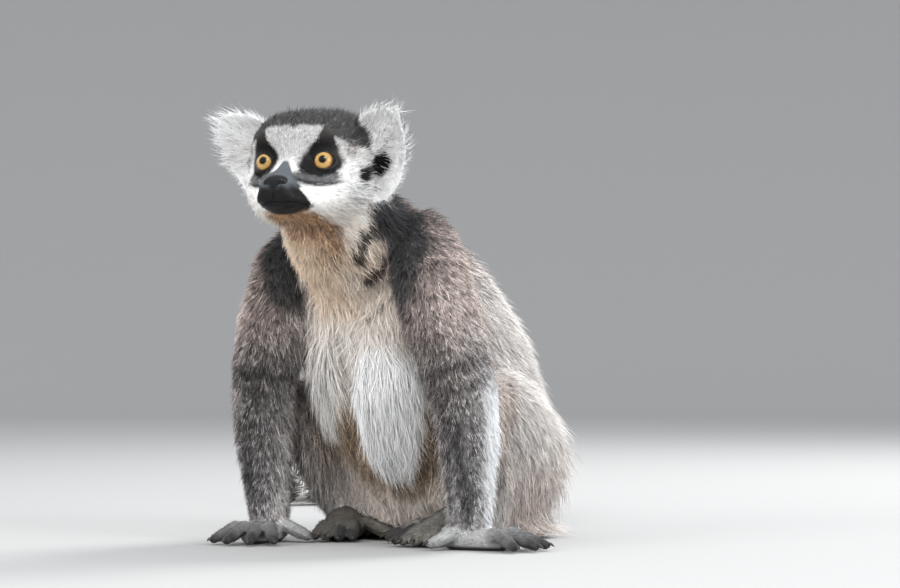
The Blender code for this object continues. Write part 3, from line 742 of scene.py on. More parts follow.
def bare_share(points, shares):
    """1 where skin shows bare: nose ridge, lips, lids, pads and the cups of the ears."""
    place = to_head(points)
    f, l, u = place.T
    side = np.abs(l)
    back_edge = np.interp(u, (-36, -31, -27, -23, -17, -14), (47, 43, 43, 49, 53.0, 55))
    muzzle = smooth_step(-1, 1, f - back_edge) * smooth_step(-15, -17, u)
    half = np.interp(-u, (-3, 4, 10, 17), (1.0, 5.0, 10.5, 15.0))
    ridge = smooth_step(1, -1, side - half) * smooth_step(-19, -17, u)
    bare = np.maximum(muzzle, ridge * smooth_step(37, 40, f) * smooth_step(3.5, 1.5, u))
    bare = bare * share_of(shares, "head")
    for turn in (1, -1):
        away, off, around = polar_about_eye(place, turn, ORBIT_WAY[turn])
        lid = smooth_step(1.30, 1.12, off / lid_angle(around)) * (away < 16)
        bare = np.maximum(bare, lid)
    under = np.maximum(smooth_step(4.0, 2.0, points[:, 2] / MM), digit_ends(points))
    return np.maximum(bare, share_of(shares, "hand", "foot") * under)


def store_colour(mesh, name, colour, fourth=1.0):
    """Keeps a colour, and a fourth value, at every point."""
    rgba = np.ones((len(colour), 4), np.float32)
    rgba[:, :3] = np.clip(colour, 0, 1)
    rgba[:, 3] = fourth
    layer = mesh.attributes.new(name, "FLOAT_COLOR", "POINT")
    layer.data.foreach_set("color", rgba.ravel())


def store_value(mesh, name, values):
    """Keeps one number at every point."""
    layer = mesh.attributes.new(name, "FLOAT", "POINT")
    layer.data.foreach_set("value", np.asarray(values, np.float32))


hide_colour = coat_colour(hide_points, shares)
hide_bare = bare_share(hide_points, shares)
# under the coat the hide is darker: partly darker underfur, partly painted shade deep between the tufts;
# bare skin keeps the full colour
under = hide_colour * (0.62 + 0.3 * hide_colour.mean(1, keepdims=True))
store_colour(hide_mesh, "Markings", under + (hide_colour - under) * hide_bare[:, None])
store_value(hide_mesh, "Bare", hide_bare)


def new_material(name, roughness, specular=0.5):
    """A material with its Principled shader; colours and bumps are linked in afterwards."""
    made = bpy.data.materials.new(name)
    made.use_nodes = True
    shader = made.node_tree.nodes["Principled BSDF"]
    shader.inputs["Roughness"].default_value = roughness
    shader.inputs["Specular IOR Level"].default_value = specular
    return made, made.node_tree, shader


def add_node(tree, kind, **settings):
    """A shader node, each setting put on its socket or, without one, on itself."""
    node = tree.nodes.new("ShaderNode" + kind)
    for key, value in settings.items():
        if key in node.inputs:
            node.inputs[key].default_value = value
        else:
            setattr(node, key, value)
    return node


def fine_hair_group():
    """Node group: short streaks of light and dark, for colour and for bump."""
    group = bpy.data.node_groups.new("fine_hair", "ShaderNodeTree")
    sockets = group.interface
    sockets.new_socket("Colour", in_out="INPUT", socket_type="NodeSocketColor")
    sockets.new_socket("Size", in_out="INPUT", socket_type="NodeSocketFloat")
    sockets.new_socket("Strength", in_out="INPUT", socket_type="NodeSocketFloat")
    sockets.new_socket("Colour", in_out="OUTPUT", socket_type="NodeSocketColor")
    sockets.new_socket("Height", in_out="OUTPUT", socket_type="NodeSocketFloat")
    enter = group.nodes.new("NodeGroupInput")
    leave = group.nodes.new("NodeGroupOutput")
    place = add_node(group, "TexCoord")
    fine = add_node(group, "TexNoise", Detail=3.0, Roughness=0.6)
    fine.noise_dimensions = "3D"
    stretch = add_node(group, "Mapping")
    stretch.inputs["Scale"].default_value = (1.0, 1.0, 0.6)
    span = add_node(group, "MapRange")
    span.inputs["From Min"].default_value = 0.3
    span.inputs["From Max"].default_value = 0.7
    lighter = add_node(group, "MixRGB", blend_type="MULTIPLY")
    tone = add_node(group, "CombineColor")
    amount = add_node(group, "Math", operation="MULTIPLY_ADD")
    link = group.links.new
    link(place.outputs["Object"], stretch.inputs["Vector"])
    link(stretch.outputs["Vector"], fine.inputs["Vector"])
    link(enter.outputs["Size"], fine.inputs["Scale"])
    link(fine.outputs["Fac"], span.inputs["Value"])
    amount.inputs[1].default_value = 1.5
    amount.inputs[2].default_value = 0.25
    link(span.outputs["Result"], amount.inputs[0])
    for channel in ("Red", "Green", "Blue"):
        link(amount.outputs["Value"], tone.inputs[channel])
    link(enter.outputs["Strength"], lighter.inputs["Fac"])
    link(enter.outputs["Colour"], lighter.inputs["Color1"])
    link(tone.outputs["Color"], lighter.inputs["Color2"])
    link(lighter.outputs["Color"], leave.inputs["Colour"])
    link(span.outputs["Result"], leave.inputs["Height"])
    return group


fine_hair = fine_hair_group()


def add_fine_hair(tree, colour, size, strength):
    """The fine_hair group in a material, on the given colour."""
    node = tree.nodes.new("ShaderNodeGroup")
    node.node_tree = fine_hair
    node.inputs["Size"].default_value = size
    node.inputs["Strength"].default_value = strength
    tree.links.new(colour, node.inputs["Colour"])
    return node


def hide_material():
    """Haired skin; where it is bare it is finely pebbled leather, a little moist."""
    made, tree, shader = new_material("haired_skin", 0.7, 0.12)
    link = tree.links.new
    markings = add_node(tree, "Attribute", attribute_name="Markings")
    bare = add_node(tree, "Attribute", attribute_name="Bare")
    hair = add_fine_hair(tree, markings.outputs["Color"], 1400.0, 0.3)
    place = add_node(tree, "TexCoord")
    pebbles = add_node(tree, "TexVoronoi", Scale=1500.0)
    link(place.outputs["Object"], pebbles.inputs["Vector"])
    height = add_node(tree, "Mix", data_type="FLOAT")
    link(bare.outputs["Fac"], height.inputs["Factor"])
    link(hair.outputs["Height"], height.inputs[2])
    link(pebbles.outputs["Distance"], height.inputs[3])
    bump = add_node(tree, "Bump", Strength=0.35, Distance=0.0004)
    link(height.outputs[0], bump.inputs["Height"])
    link(bump.outputs["Normal"], shader.inputs["Normal"])
    link(hair.outputs["Colour"], shader.inputs["Base Color"])
    rough = add_node(tree, "MapRange")
    rough.inputs["To Min"].default_value = 0.85
    rough.inputs["To Max"].default_value = 0.42
    link(bare.outputs["Fac"], rough.inputs["Value"])
    link(rough.outputs["Result"], shader.inputs["Roughness"])
    return made


hide_mesh.materials.clear()
hide_mesh.materials.append(hide_material())
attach(hide, "root")
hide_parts(*FLESH)


# ---- Eyes --------------------------------------------------------------------
# Amber eyes with a small round pupil, a dark outer ring and a wet, slightly domed front.
# Each ball is a sphere turned about its line of sight, swollen a little over the iris.
DOME_RISE = 0.55            # mm that the front swells over the iris


def grid_faces(rows, columns, closed):
    """Quads of a grid of points, joined round when closed."""
    j = np.arange(columns if closed else columns - 1)
    i = np.arange(rows - 1)[:, None]
    following = (j + 1) % columns
    quads = np.stack([i * columns + j, i * columns + following,
                      (i + 1) * columns + following, (i + 1) * columns + j], axis=-1)
    return quads.reshape(-1, 4)


def new_piece(name, points, faces, material):
    """A smooth mesh object at the origin from points and faces."""
    mesh = bpy.data.meshes.new(name)
    mesh.from_pydata(np.asarray(points, float).tolist(), [], [list(map(int, f)) for f in faces])
    mesh.update()
    work = bmesh.new()
    work.from_mesh(mesh)
    bmesh.ops.remove_doubles(work, verts=work.verts, dist=WELD)
    bmesh.ops.recalc_face_normals(work, faces=work.faces)
    work.to_mesh(mesh)
    work.free()
    mesh.shade_smooth()
    mesh.materials.append(material)
    obj = bpy.data.objects.new(name, mesh)
    bpy.context.scene.collection.objects.link(obj)
    return obj


def eyeball(turn, rings=48, around=64):
    """Sphere about the line of sight: angle off it by angle round it, domed over the iris."""
    off = np.linspace(0, np.pi, rings)[:, None]
    turn_round = np.linspace(0, 2 * np.pi, around, endpoint=False)[None, :]
    radius = EYE_RADIUS - 0.25 + DOME_RISE * smooth_step(50, 18, np.degrees(off))
    ahead = radius * np.cos(off) * np.ones_like(turn_round)
    level = radius * np.sin(off) * np.cos(turn_round)
    up = radius * np.sin(off) * np.sin(turn_round)
    places = np.stack([ahead, level, up], axis=-1).reshape(-1, 3) @ eye_frame(GAZE[turn])
    return from_head(eye_middle[turn] + places), grid_faces(rings, around, True)


def eye_material():
    """Iris fibres and rings painted by the angle off the line of sight, under a wet coat."""
    made, tree, shader = new_material("amber_eye", 0.3, 0.1)
    shader.inputs["Coat Weight"].default_value = 1.0
    shader.inputs["Coat Roughness"].default_value = 0.02
    shader.inputs["Coat IOR"].default_value = 1.33
    link = tree.links.new
    off = add_node(tree, "Attribute", attribute_name="OffAxis")
    spoke = add_node(tree, "Attribute", attribute_name="Spoke")
    fibres = add_node(tree, "TexNoise", Scale=1.0, Detail=4.0, Roughness=0.65)
    link(spoke.outputs["Vector"], fibres.inputs["Vector"])
    tone = add_node(tree, "MapRange")
    tone.inputs["From Min"].default_value = 0.3
    tone.inputs["From Max"].default_value = 0.7
    tone.inputs["To Min"].default_value = 0.62
    tone.inputs["To Max"].default_value = 1.3
    link(fibres.outputs["Fac"], tone.inputs["Value"])
    grey = add_node(tree, "CombineColor")
    for channel in ("Red", "Green", "Blue"):
        link(tone.outputs["Result"], grey.inputs[channel])
    fibrous = add_node(tree, "MixRGB", blend_type="MULTIPLY", Fac=1.0)
    link(grey.outputs["Color"], fibrous.inputs["Color2"])
    ramp = add_node(tree, "ValToRGB")
    stops = [
        (0.0, (0.002, 0.0015, 0.001)), (0.142, (0.003, 0.002, 0.0015)), (0.156, (0.08, 0.035, 0.010)),
        (0.20, (0.33, 0.20, 0.065)), (0.29, (0.45, 0.29, 0.10)), (0.38, (0.38, 0.215, 0.062)),
        (0.44, (0.19, 0.085, 0.022)), (0.485, (0.05, 0.022, 0.008)), (0.52, (0.008, 0.006, 0.005)),
        (1.0, (0.03, 0.02, 0.018)),
    ]
    ramp.color_ramp.elements[0].position = stops[0][0]
    ramp.color_ramp.elements[0].color = (*stops[0][1], 1)
    ramp.color_ramp.elements[1].position = stops[-1][0]
    ramp.color_ramp.elements[1].color = (*stops[-1][1], 1)
    for position, colour in stops[1:-1]:
        ramp.color_ramp.elements.new(position).color = (*colour, 1)
    link(off.outputs["Fac"], ramp.inputs["Fac"])
    link(ramp.outputs["Color"], fibrous.inputs["Color1"])
    link(fibrous.outputs["Color"], shader.inputs["Base Color"])
    return made


amber_eye = eye_material()
for side, turn in (("left", 1), ("right", -1)):
    ball = new_piece(f"eyeball_{side}", *eyeball(turn), amber_eye)
    at = to_head(points_of(ball.data))
    _, off, around = polar_about_eye(at, turn, GAZE[turn])
    store_value(ball.data, "OffAxis", off / 100)
    spokes = np.stack([np.cos(around) * 9, np.sin(around) * 9, off * 0.05], axis=1)
    layer = ball.data.attributes.new("Spoke", "FLOAT_VECTOR", "POINT")
    layer.data.foreach_set("vector", spokes.astype(np.float32).ravel())
    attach(ball, "root")
    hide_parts(f"eye_{side}")


# ---- Lid rims ----------------------------------------------------------------
# The wet black edge of the lids, a thin roll that lies on the ball all round the opening.
RIM_THICK = 0.62            # mm


def lid_rim(turn, steps=96, sides=10):
    """A roll carried along the edge of the opening: circle by circle on the ball."""
    around = np.linspace(0, 2 * np.pi, steps, endpoint=False)
    off = np.radians(lid_angle(around) * 0.985)
    ways = np.stack([np.cos(off), np.sin(off) * np.cos(around), np.sin(off) * np.sin(around)], 1)
    centres = (EYE_RADIUS + 0.05) * ways
    along = unit(np.roll(centres, -1, 0) - np.roll(centres, 1, 0))
    across = np.cross(along, ways)
    ring = np.linspace(0, 2 * np.pi, sides, endpoint=False)
    offsets = (np.cos(ring)[None, :, None] * ways[:, None] * 0.8
               + np.sin(ring)[None, :, None] * across[:, None])
    places = (centres[:, None] + RIM_THICK * offsets).reshape(-1, 3) @ eye_frame(ORBIT_WAY[turn])
    faces = grid_faces(steps + 1, sides, True) % (steps * sides)
    return from_head(eye_middle[turn] + places), faces


def hard_dark_material(name, roughness, specular, noise, dark, light, rise):
    """Fine noise between two dark colours, with the same noise as a slight relief."""
    made, tree, shader = new_material(name, roughness, specular)
    link = tree.links.new
    place = add_node(tree, "TexCoord")
    grain = add_node(tree, "TexNoise", Scale=noise[0], Detail=noise[1])
    link(place.outputs["Object"], grain.inputs["Vector"])
    ramp = add_node(tree, "ValToRGB")
    ramp.color_ramp.elements[0].color = (*dark, 1)
    ramp.color_ramp.elements[1].color = (*light, 1)
    link(grain.outputs["Fac"], ramp.inputs["Fac"])
    link(ramp.outputs["Color"], shader.inputs["Base Color"])
    bump = add_node(tree, "Bump", Strength=rise, Distance=0.0002)
    link(grain.outputs["Fac"], bump.inputs["Height"])
    link(bump.outputs["Normal"], shader.inputs["Normal"])
    return made


wet_rim = hard_dark_material("wet_black_rim", 0.3, 0.25, (900.0, 3.0), (0.004, 0.0035, 0.0035),
                             (0.022, 0.018, 0.017), 0.3)
for side, turn in (("left", 1), ("right", -1)):
    rim = new_piece(f"lid_rim_{side}", *lid_rim(turn), wet_rim)
    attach(rim, "root")


# ---- Nose pad ----------------------------------------------------------------
# The moist leathery pad with its two comma-shaped nostrils, a swollen oval over the filling.
NOSE_MIDDLE = to_head(np.array(sum(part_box("nose"), Vector()) / 2)) + (0.6, 0, 1.0)


def nose_pad(rings=60, around=96):
    """Ellipsoid turned about the forward line, dented at the nostrils and split below."""
    off = np.linspace(0, np.pi, rings)[:, None]
    turn_round = np.linspace(0, 2 * np.pi, around, endpoint=False)[None, :]
    ahead = np.cos(off) * np.ones_like(turn_round)
    level = np.sin(off) * np.cos(turn_round)
    up = np.sin(off) * np.sin(turn_round)
    way = np.stack([ahead, level, up], axis=-1).reshape(-1, 3)
    half = np.array((5.2, 8.7, 5.4))
    places = np.sign(way) * np.abs(way) ** 0.92 * half
    q = both_sides(places)
    dent = 3.0 * hill(q, (4, 4.8, -1.6), (5, 2.2, 1.7)) + 1.8 * hill(q, (3, 7.6, -2.4), (5, 2.4, 1.2))
    dent += 0.8 * np.exp(-((q[:, 1] / 0.6) ** 2)) * smooth_step(1.0, -2.5, q[:, 2]) * (q[:, 0] > 0)
    places[:, 0] -= dent
    places[:, 2] -= 0.35 * dent
    return from_head(NOSE_MIDDLE + places), grid_faces(rings, around, True)


def nose_material():
    """Black leather of small pebbles, moist, blacker in the nostrils by painted shade."""
    made, tree, shader = new_material("moist_nose", 0.35, 0.15)
    shader.inputs["Coat Weight"].default_value = 0.35
    shader.inputs["Coat Roughness"].default_value = 0.12
    shader.inputs["Coat IOR"].default_value = 1.33
    link = tree.links.new
    place = add_node(tree, "TexCoord")
    pebbles = add_node(tree, "TexVoronoi", Scale=1700.0)
    link(place.outputs["Object"], pebbles.inputs["Vector"])
    tone = add_node(tree, "ValToRGB")
    tone.color_ramp.elements[0].color = (0.012, 0.0125, 0.014, 1)
    tone.color_ramp.elements[1].color = (0.004, 0.004, 0.0045, 1)
    link(pebbles.outputs["Distance"], tone.inputs["Fac"])
    nostril_shade = add_node(tree, "Attribute", attribute_name="NostrilShade")
    darker = add_node(tree, "MixRGB", blend_type="MIX")
    darker.inputs["Color2"].default_value = (0.001, 0.001, 0.001, 1)
    link(nostril_shade.outputs["Fac"], darker.inputs["Fac"])
    link(tone.outputs["Color"], darker.inputs["Color1"])
    link(darker.outputs["Color"], shader.inputs["Base Color"])
    bump = add_node(tree, "Bump", Strength=0.5, Distance=0.0003, invert=True)
    link(pebbles.outputs["Distance"], bump.inputs["Height"])
    link(bump.outputs["Normal"], shader.inputs["Normal"])
    return made


nose = new_piece("nose_pad", *nose_pad(), nose_material())
in_nose = both_sides(to_head(points_of(nose.data)) - NOSE_MIDDLE)
# painted shade in the nostrils
nostril_shade = hill(in_nose, (2, 4.9, -2.4), (6, 1.9, 1.4)) + hill(in_nose, (1, 7.6, -2.9), (6, 2, 0.9))
store_value(nose.data, "NostrilShade", smooth_step(0.35, 0.75, nostril_shade))
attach(nose, "root")
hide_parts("nose")


# ---- Nails -------------------------------------------------------------------
# Dark flat nails on the last joint of every finger and toe, each grown from its own bed and
# bent down over the tip.
# Turn from the paw's heading in degrees, reach, thickness, offset across, root along the paw
FINGERS = ((-30, 31, 4.7, -7.0, 0.72), (-9, 36, 4.7, -2.5, 0.72),
           (9, 36, 4.6, 2.5, 0.72), (29, 30, 4.4, 7.0, 0.72))
TOES = ((-60, 32, 6.0, -8.0, 0.62), (-12, 27, 5.0, -7.0, 0.84), (-2, 29, 5.0, -2.5, 0.84),
        (7, 28, 4.9, 3.0, 0.84), (17, 24, 4.6, 8.0, 0.84))
# Paw: where it starts, its heading in degrees, length, digits; the thumb's turn goes with the hand
PAWS = (
    (1, (78.5, -122), 94, 24, FINGERS + ((-138, 27, 5.2, -5.0, 0.15),)),
    (-1, (78.5, -122), -12, 24, FINGERS + ((-92, 27, 5.2, -5.0, 0.15),)),
    (1, (47, -62), -10, 46, TOES),
    (-1, (56, -46), -20, 46, TOES),
)
NAIL_HALF = (3.1, 1.75, 0.8)


def nail(tip, way, thick, rings=13, around=14):
    """Flattened ball, narrowing forward, tipped down along the digit."""
    off = np.linspace(0, np.pi, rings)[:, None]
    turn = np.linspace(0, 2 * np.pi, around, endpoint=False)[None, :]
    ahead = np.cos(off) * np.ones_like(turn)
    width = np.sin(off) * (1 - 0.25 * np.cos(off))
    place = np.stack([ahead, width * np.cos(turn), width * np.sin(turn)], axis=-1).reshape(-1, 3)
    place = place * NAIL_HALF * (thick / 4.7)
    place[:, 2] -= 0.07 * place[:, 0] ** 2 + 0.10 * place[:, 1] ** 2
    down = math.radians(24)
    ahead = np.array((way[0] * math.cos(down), way[1] * math.cos(down), -math.sin(down)))
    level = np.array((-way[1], way[0], 0.0))
    above = np.cross(ahead, level)
    centre = np.array((*tip, 0.8 * thick)) + 1.6 * ahead + 0.42 * thick * above
    return (centre + place @ np.stack([ahead, level, above])) * MM, grid_faces(rings, around, True)


def all_nails():
    """Every nail of the four paws: each root plus its reach along its own turn."""
    points, faces, start = [], [], 0
    for side, begin, heading, length, digits in PAWS:
        heading = side * math.radians(heading)
        go = np.array((math.sin(heading), -math.cos(heading)))
        across = np.array((math.cos(heading), math.sin(heading)))
        for turn, reach, thick, offset, back in digits:
            angle = heading + side * math.radians(turn)
            way = np.array((math.sin(angle), -math.cos(angle)))
            root = np.array((side * begin[0], begin[1])) + go * length * back + side * across * offset
            own_points, own_faces = nail(root + way * reach, way, thick)
            points.append(own_points)
            faces.append(own_faces + start)
            start += len(own_points)
    return np.concatenate(points), np.concatenate(faces)


dark_horn = hard_dark_material("dark_horn", 0.35, 0.4, (500.0, 4.0), (0.008, 0.007, 0.006),
                               (0.045, 0.038, 0.032), 0.2)
nails = new_piece("nails", *all_nails(), dark_horn)
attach(nails, "root")


# ---- Coat: how it lies -------------------------------------------------------
# Hair streams back from the nose over the head, out over the ears, down the neck, breast and
# arms, back along the flanks and out to the end of the tail.
LIE = {                     # direction on the left side; the right is its mirror
    "neck": (0.0, 0.28, -1.0),
    "upper_arm": (0.22, 0.22, -1.0),
    "forearm": (0.10, 0.22, -1.0),
    "thigh": (0.02, 0.35, -1.0),
    "shank": (-0.1, 0.3, -0.9),
}


def lie_of_coat(points, normals, shares):
    """Direction of the hair along the skin: each region's own, blended and laid flat."""
    place = to_head(points)
    turn = np.where(points[:, 0] > 0, 1.0, -1.0)
    ways = np.zeros((len(REGIONS), len(points), 3))
    ways[REGION_NAMES.index("head")] = unit(place - (60, 0, -14)) @ HEAD_TURN.T
    root = np.stack([np.full(len(points), 4.0), 29 * turn, np.full(len(points), 4.0)], axis=1)
    ways[REGION_NAMES.index("ear")] = unit(place - root) @ HEAD_TURN.T
    for name, way in LIE.items():
        way = np.tile(unit(way), (len(points), 1))
        way[:, 0] *= turn
        ways[REGION_NAMES.index(name)] = way
    y, z = points[:, 1] / MM, points[:, 2] / MM
    back = smooth_step(-120, -40, y)
    trunk = np.stack([0 * y, back * np.interp(z, (0, 60, 150, 230), (0.1, 0.2, 0.8, 1.4)), -1 + 0 * y], 1)
    ways[REGION_NAMES.index("trunk")] = unit(trunk)
    for name, starts in (("hand", WRISTS), ("foot", ANKLES)):
        start = np.where(turn[:, None] > 0, starts[1], starts[-1])
        out = np.concatenate([points[:, :2] - start, 0.3 * (points[:, 2:] - 0.02)], axis=1)
        ways[REGION_NAMES.index(name)] = unit(out)
    ways[REGION_NAMES.index("tail")] = along_line(points, TAIL_LINE)[2]
    way = np.einsum("nr,rnk->nk", shares, ways)
    return unit(way - normals * (way * normals).sum(1, keepdims=True))


hide_lie = lie_of_coat(hide_points, hide_normals, shares)
for _ in range(6):
    hide_lie = unit(0.5 * hide_lie + 0.5 * neighbour_mean(hide_lie, hide_edges))


# ---- Coat: tufts -------------------------------------------------------------
# Dense woolly under-hair with pale and dark guard hair, in thin tapering tufts that overlap
# and follow the lie. Short coat is single cones; long coat bends over in two lengths.
hide_loops = np.empty(len(hide_mesh.loops), np.int32)
hide_mesh.loops.foreach_get("vertex_index", hide_loops)
hide_triangles = hide_loops.reshape(-1, 3)


def coat_material():
    """Hair: colour of each tuft from root to tip, soft and matt, with a faint sheen."""
    made, tree, shader = new_material("hair", 0.75, 0.25)
    colour = add_node(tree, "Attribute", attribute_name="Coat")
    hair = add_fine_hair(tree, colour.outputs["Color"], 700.0, 0.35)
    tree.links.new(colour.outputs["Alpha"], hair.inputs["Strength"])
    bump = add_node(tree, "Bump", Strength=0.15, Distance=0.0002)
    tree.links.new(hair.outputs["Height"], bump.inputs["Height"])
    tree.links.new(bump.outputs["Normal"], shader.inputs["Normal"])
    tree.links.new(hair.outputs["Colour"], shader.inputs["Base Color"])
    return made


hair_material = coat_material()


def scatter(density, rng):
    """Places on the hide, so many to a square millimetre: triangle, and shares of its corners."""
    corners = hide_points[hide_triangles] / MM
    area = np.linalg.norm(np.cross(corners[:, 1] - corners[:, 0], corners[:, 2] - corners[:, 0]), axis=1) / 2
    weight = area * density[hide_triangles].mean(1)
    total = np.cumsum(weight)
    count = int(total[-1])
    picks = (np.arange(count) + rng.random(count)) / count * total[-1]
    chosen = np.minimum(np.searchsorted(total, picks), len(total) - 1)
    a, b = rng.random((2, count))
    over = a + b > 1
    a, b = np.where(over, 1 - a, a), np.where(over, 1 - b, b)
    return hide_triangles[chosen], np.stack([1 - a - b, a, b], axis=1)


def at_places(values, corners, weights):
    """A hide value at the scattered places."""
    return np.einsum("nk...,nk->n...", values[corners], weights)


def turned(ways, normals, angle):
    """The ways turned about the normals by the angle in radians."""
    c, s = np.cos(angle)[:, None], np.sin(angle)[:, None]
    return ways * c + np.cross(normals, ways) * s


def unwrap(points, axis_from, axis_to):
    """Flat place on the skin's own unwrap: angle round an axis, and length along it, 0 to 1."""
    ahead = unit(np.array(axis_to) - np.array(axis_from))
    hint = (0, 0, 1) if abs(ahead[2]) < 0.8 else (0, -1, 0)
    level = unit(np.cross(hint, ahead))
    up = np.cross(ahead, level)
    offset = points - np.array(axis_from)
    across, along = np.arctan2(offset @ up, offset @ level), offset @ ahead
    flat = np.stack([across / (2 * np.pi) + 0.5, along], axis=1)
    low, high = flat.min(0), flat.max(0)
    return 0.01 + 0.98 * (flat - low) / np.maximum(high - low, 1e-9)


ROOT_SINK = 0.35            # mm that a tuft's root lies under the hide
TUFT_CLEAR = 0.8            # mm, the lowest that a tuft's middle comes
SOFTEN = 0.55               # how far a tuft's shading turns from the hide's own normal
PATCH_HALF, PATCH_LONG = 0.0012, 0.003      # of the unwrap, for each tuft


def tuft_mesh(name, roots, normals, ways, lengths, widths, lifts, segments, root_colour,
              tip_colour, speckle, patches):
    """Joined closed cones of three sides, in one length or two. Each rises from its root at its
    lift and bends down towards the skin; its rings shrink to one tip."""
    count = len(roots)
    side = unit(np.cross(ways, normals))
    rings = np.arange(segments) / segments
    steps = lengths[:, None] / segments
    centre = roots - ROOT_SINK * MM * normals
    centres, frames = [], []
    for k in range(segments + 1):
        angle = lifts * (1 - 0.85 * k / segments)
        way = ways * np.cos(angle)[:, None] + normals * np.sin(angle)[:, None]
        centres.append(centre)
        frames.append(np.cross(side, way))
        centre = centre + way * steps
        centre[:, 2] = np.maximum(centre[:, 2], TUFT_CLEAR * MM)
    turn = np.pi / 2 - 2 * np.pi * np.arange(3) / 3
    points = np.empty((count, 3 * segments + 1, 3), np.float32)
    shading = np.empty_like(points)
    for k, share in enumerate(rings):
        size = (widths * (1 - 0.75 * share**1.3))[:, None] / 2
        for c, (along, above) in enumerate(zip(np.cos(turn), np.sin(turn))):
            offset = side * along + frames[k] * above * 0.55
            points[:, 3 * k + c] = centres[k] + offset * size
            shading[:, 3 * k + c] = unit(normals + SOFTEN * (side * along + frames[k] * above))
    points[:, -1] = centres[-1]
    shading[:, -1] = unit(normals + 0.3 * SOFTEN * frames[-1])
    pattern = [(2, 1, 0)]
    for k in range(segments - 1):
        for c in range(3):
            a, b = 3 * k + c, 3 * k + (c + 1) % 3
            pattern += [(a, b, b + 3), (a, b + 3, a + 3)]
    last = 3 * (segments - 1)
    pattern += [(last + c, last + (c + 1) % 3, 3 * segments) for c in range(3)]
    pattern = np.array(pattern, np.int32)
    faces = pattern[None] + (np.arange(count, dtype=np.int32) * points.shape[1])[:, None, None]
    mesh = bpy.data.meshes.new(name)
    mesh.vertices.add(points.shape[0] * points.shape[1])
    mesh.vertices.foreach_set("co", points.ravel())
    mesh.loops.add(faces.size)
    mesh.loops.foreach_set("vertex_index", faces.ravel())
    mesh.polygons.add(faces.size // 3)
    mesh.polygons.foreach_set("loop_start", np.arange(0, faces.size, 3, dtype=np.int32))
    mesh.update(calc_edges=True)
    mesh.shade_smooth()
    level = np.append(np.repeat(rings, 3), 1.0)[None, :, None]
    colours = root_colour[:, None] + (tip_colour - root_colour)[:, None] * level**0.8
    store_colour(mesh, "Coat", colours.reshape(-1, 3), np.repeat(speckle, points.shape[1]))
    flat = np.stack([np.append(np.tile((-1, 1, 0), segments), 0) * PATCH_HALF,
                     np.append(np.repeat(rings, 3), 1) * PATCH_LONG - PATCH_LONG / 2], axis=1)
    spots = (patches[:, None] + flat).astype(np.float32)
    layer = mesh.uv_layers.new(name="OFBake")
    layer.uv.foreach_set("vector", spots.reshape(-1, 2)[faces.ravel()].ravel())
    mesh.materials.append(hair_material)
    mesh.normals_split_custom_set_from_vertices(shading.reshape(-1, 3))
    obj = bpy.data.objects.new(name, mesh)
    bpy.context.scene.collection.objects.link(obj)
    return obj


# Tufts to a square millimetre, length, width, lift in degrees, spread in degrees
SHORT_COAT = {
    "head": (1.05, 5.0, 0.50, 26, 14),
    "ear": (1.30, 5.5, 0.42, 18, 14),
    "neck": (1.10, 7.5, 0.50, 28, 22),
    "trunk": (1.08, 7.5, 0.50, 27, 22),
    "upper_arm": (1.40, 5.4, 0.46, 28, 24),
    "forearm": (1.55, 4.3, 0.43, 30, 24),
    "hand": (0.80, 3.4, 0.45, 14, 14),
    "thigh": (1.05, 7.5, 0.50, 25, 22),
    "shank": (0.80, 6.5, 0.60, 24, 18),
    "foot": (0.80, 4.2, 0.45, 14, 14),
    "tail": (0.60, 9.5, 0.75, 28, 18),
}
LONG_COAT = {
    "head": (0.12, 8.0, 0.34, 30, 12),
    "ear": (0.50, 9.5, 0.30, 24, 12),
    "neck": (0.16, 16.0, 0.75, 26, 14),
    "trunk": (0.08, 15.0, 0.70, 27, 16),
    "upper_arm": (0.04, 8.5, 0.50, 30, 20),
    "forearm": (0.03, 7.0, 0.45, 32, 20),
    "hand": (0.0, 5.0, 0.45, 14, 14),
    "thigh": (0.07, 14.0, 0.70, 26, 16),
    "shank": (0.05, 10.0, 0.60, 26, 16),
    "foot": (0.0, 5.0, 0.45, 14, 14),
    "tail": (0.09, 14.0, 0.80, 32, 16),
}
DENSITY, LENGTH, WIDTH, LIFT, SPREAD = range(5)


def add_where(mask, table, density=0.0, length=0.0, lift=0.0, spread=0.0):
    """Adds each amount, times the mask, to its column of the table."""
    for column, amount in ((DENSITY, density), (LENGTH, length), (LIFT, lift), (SPREAD, spread)):
        table[:, column] += amount * mask


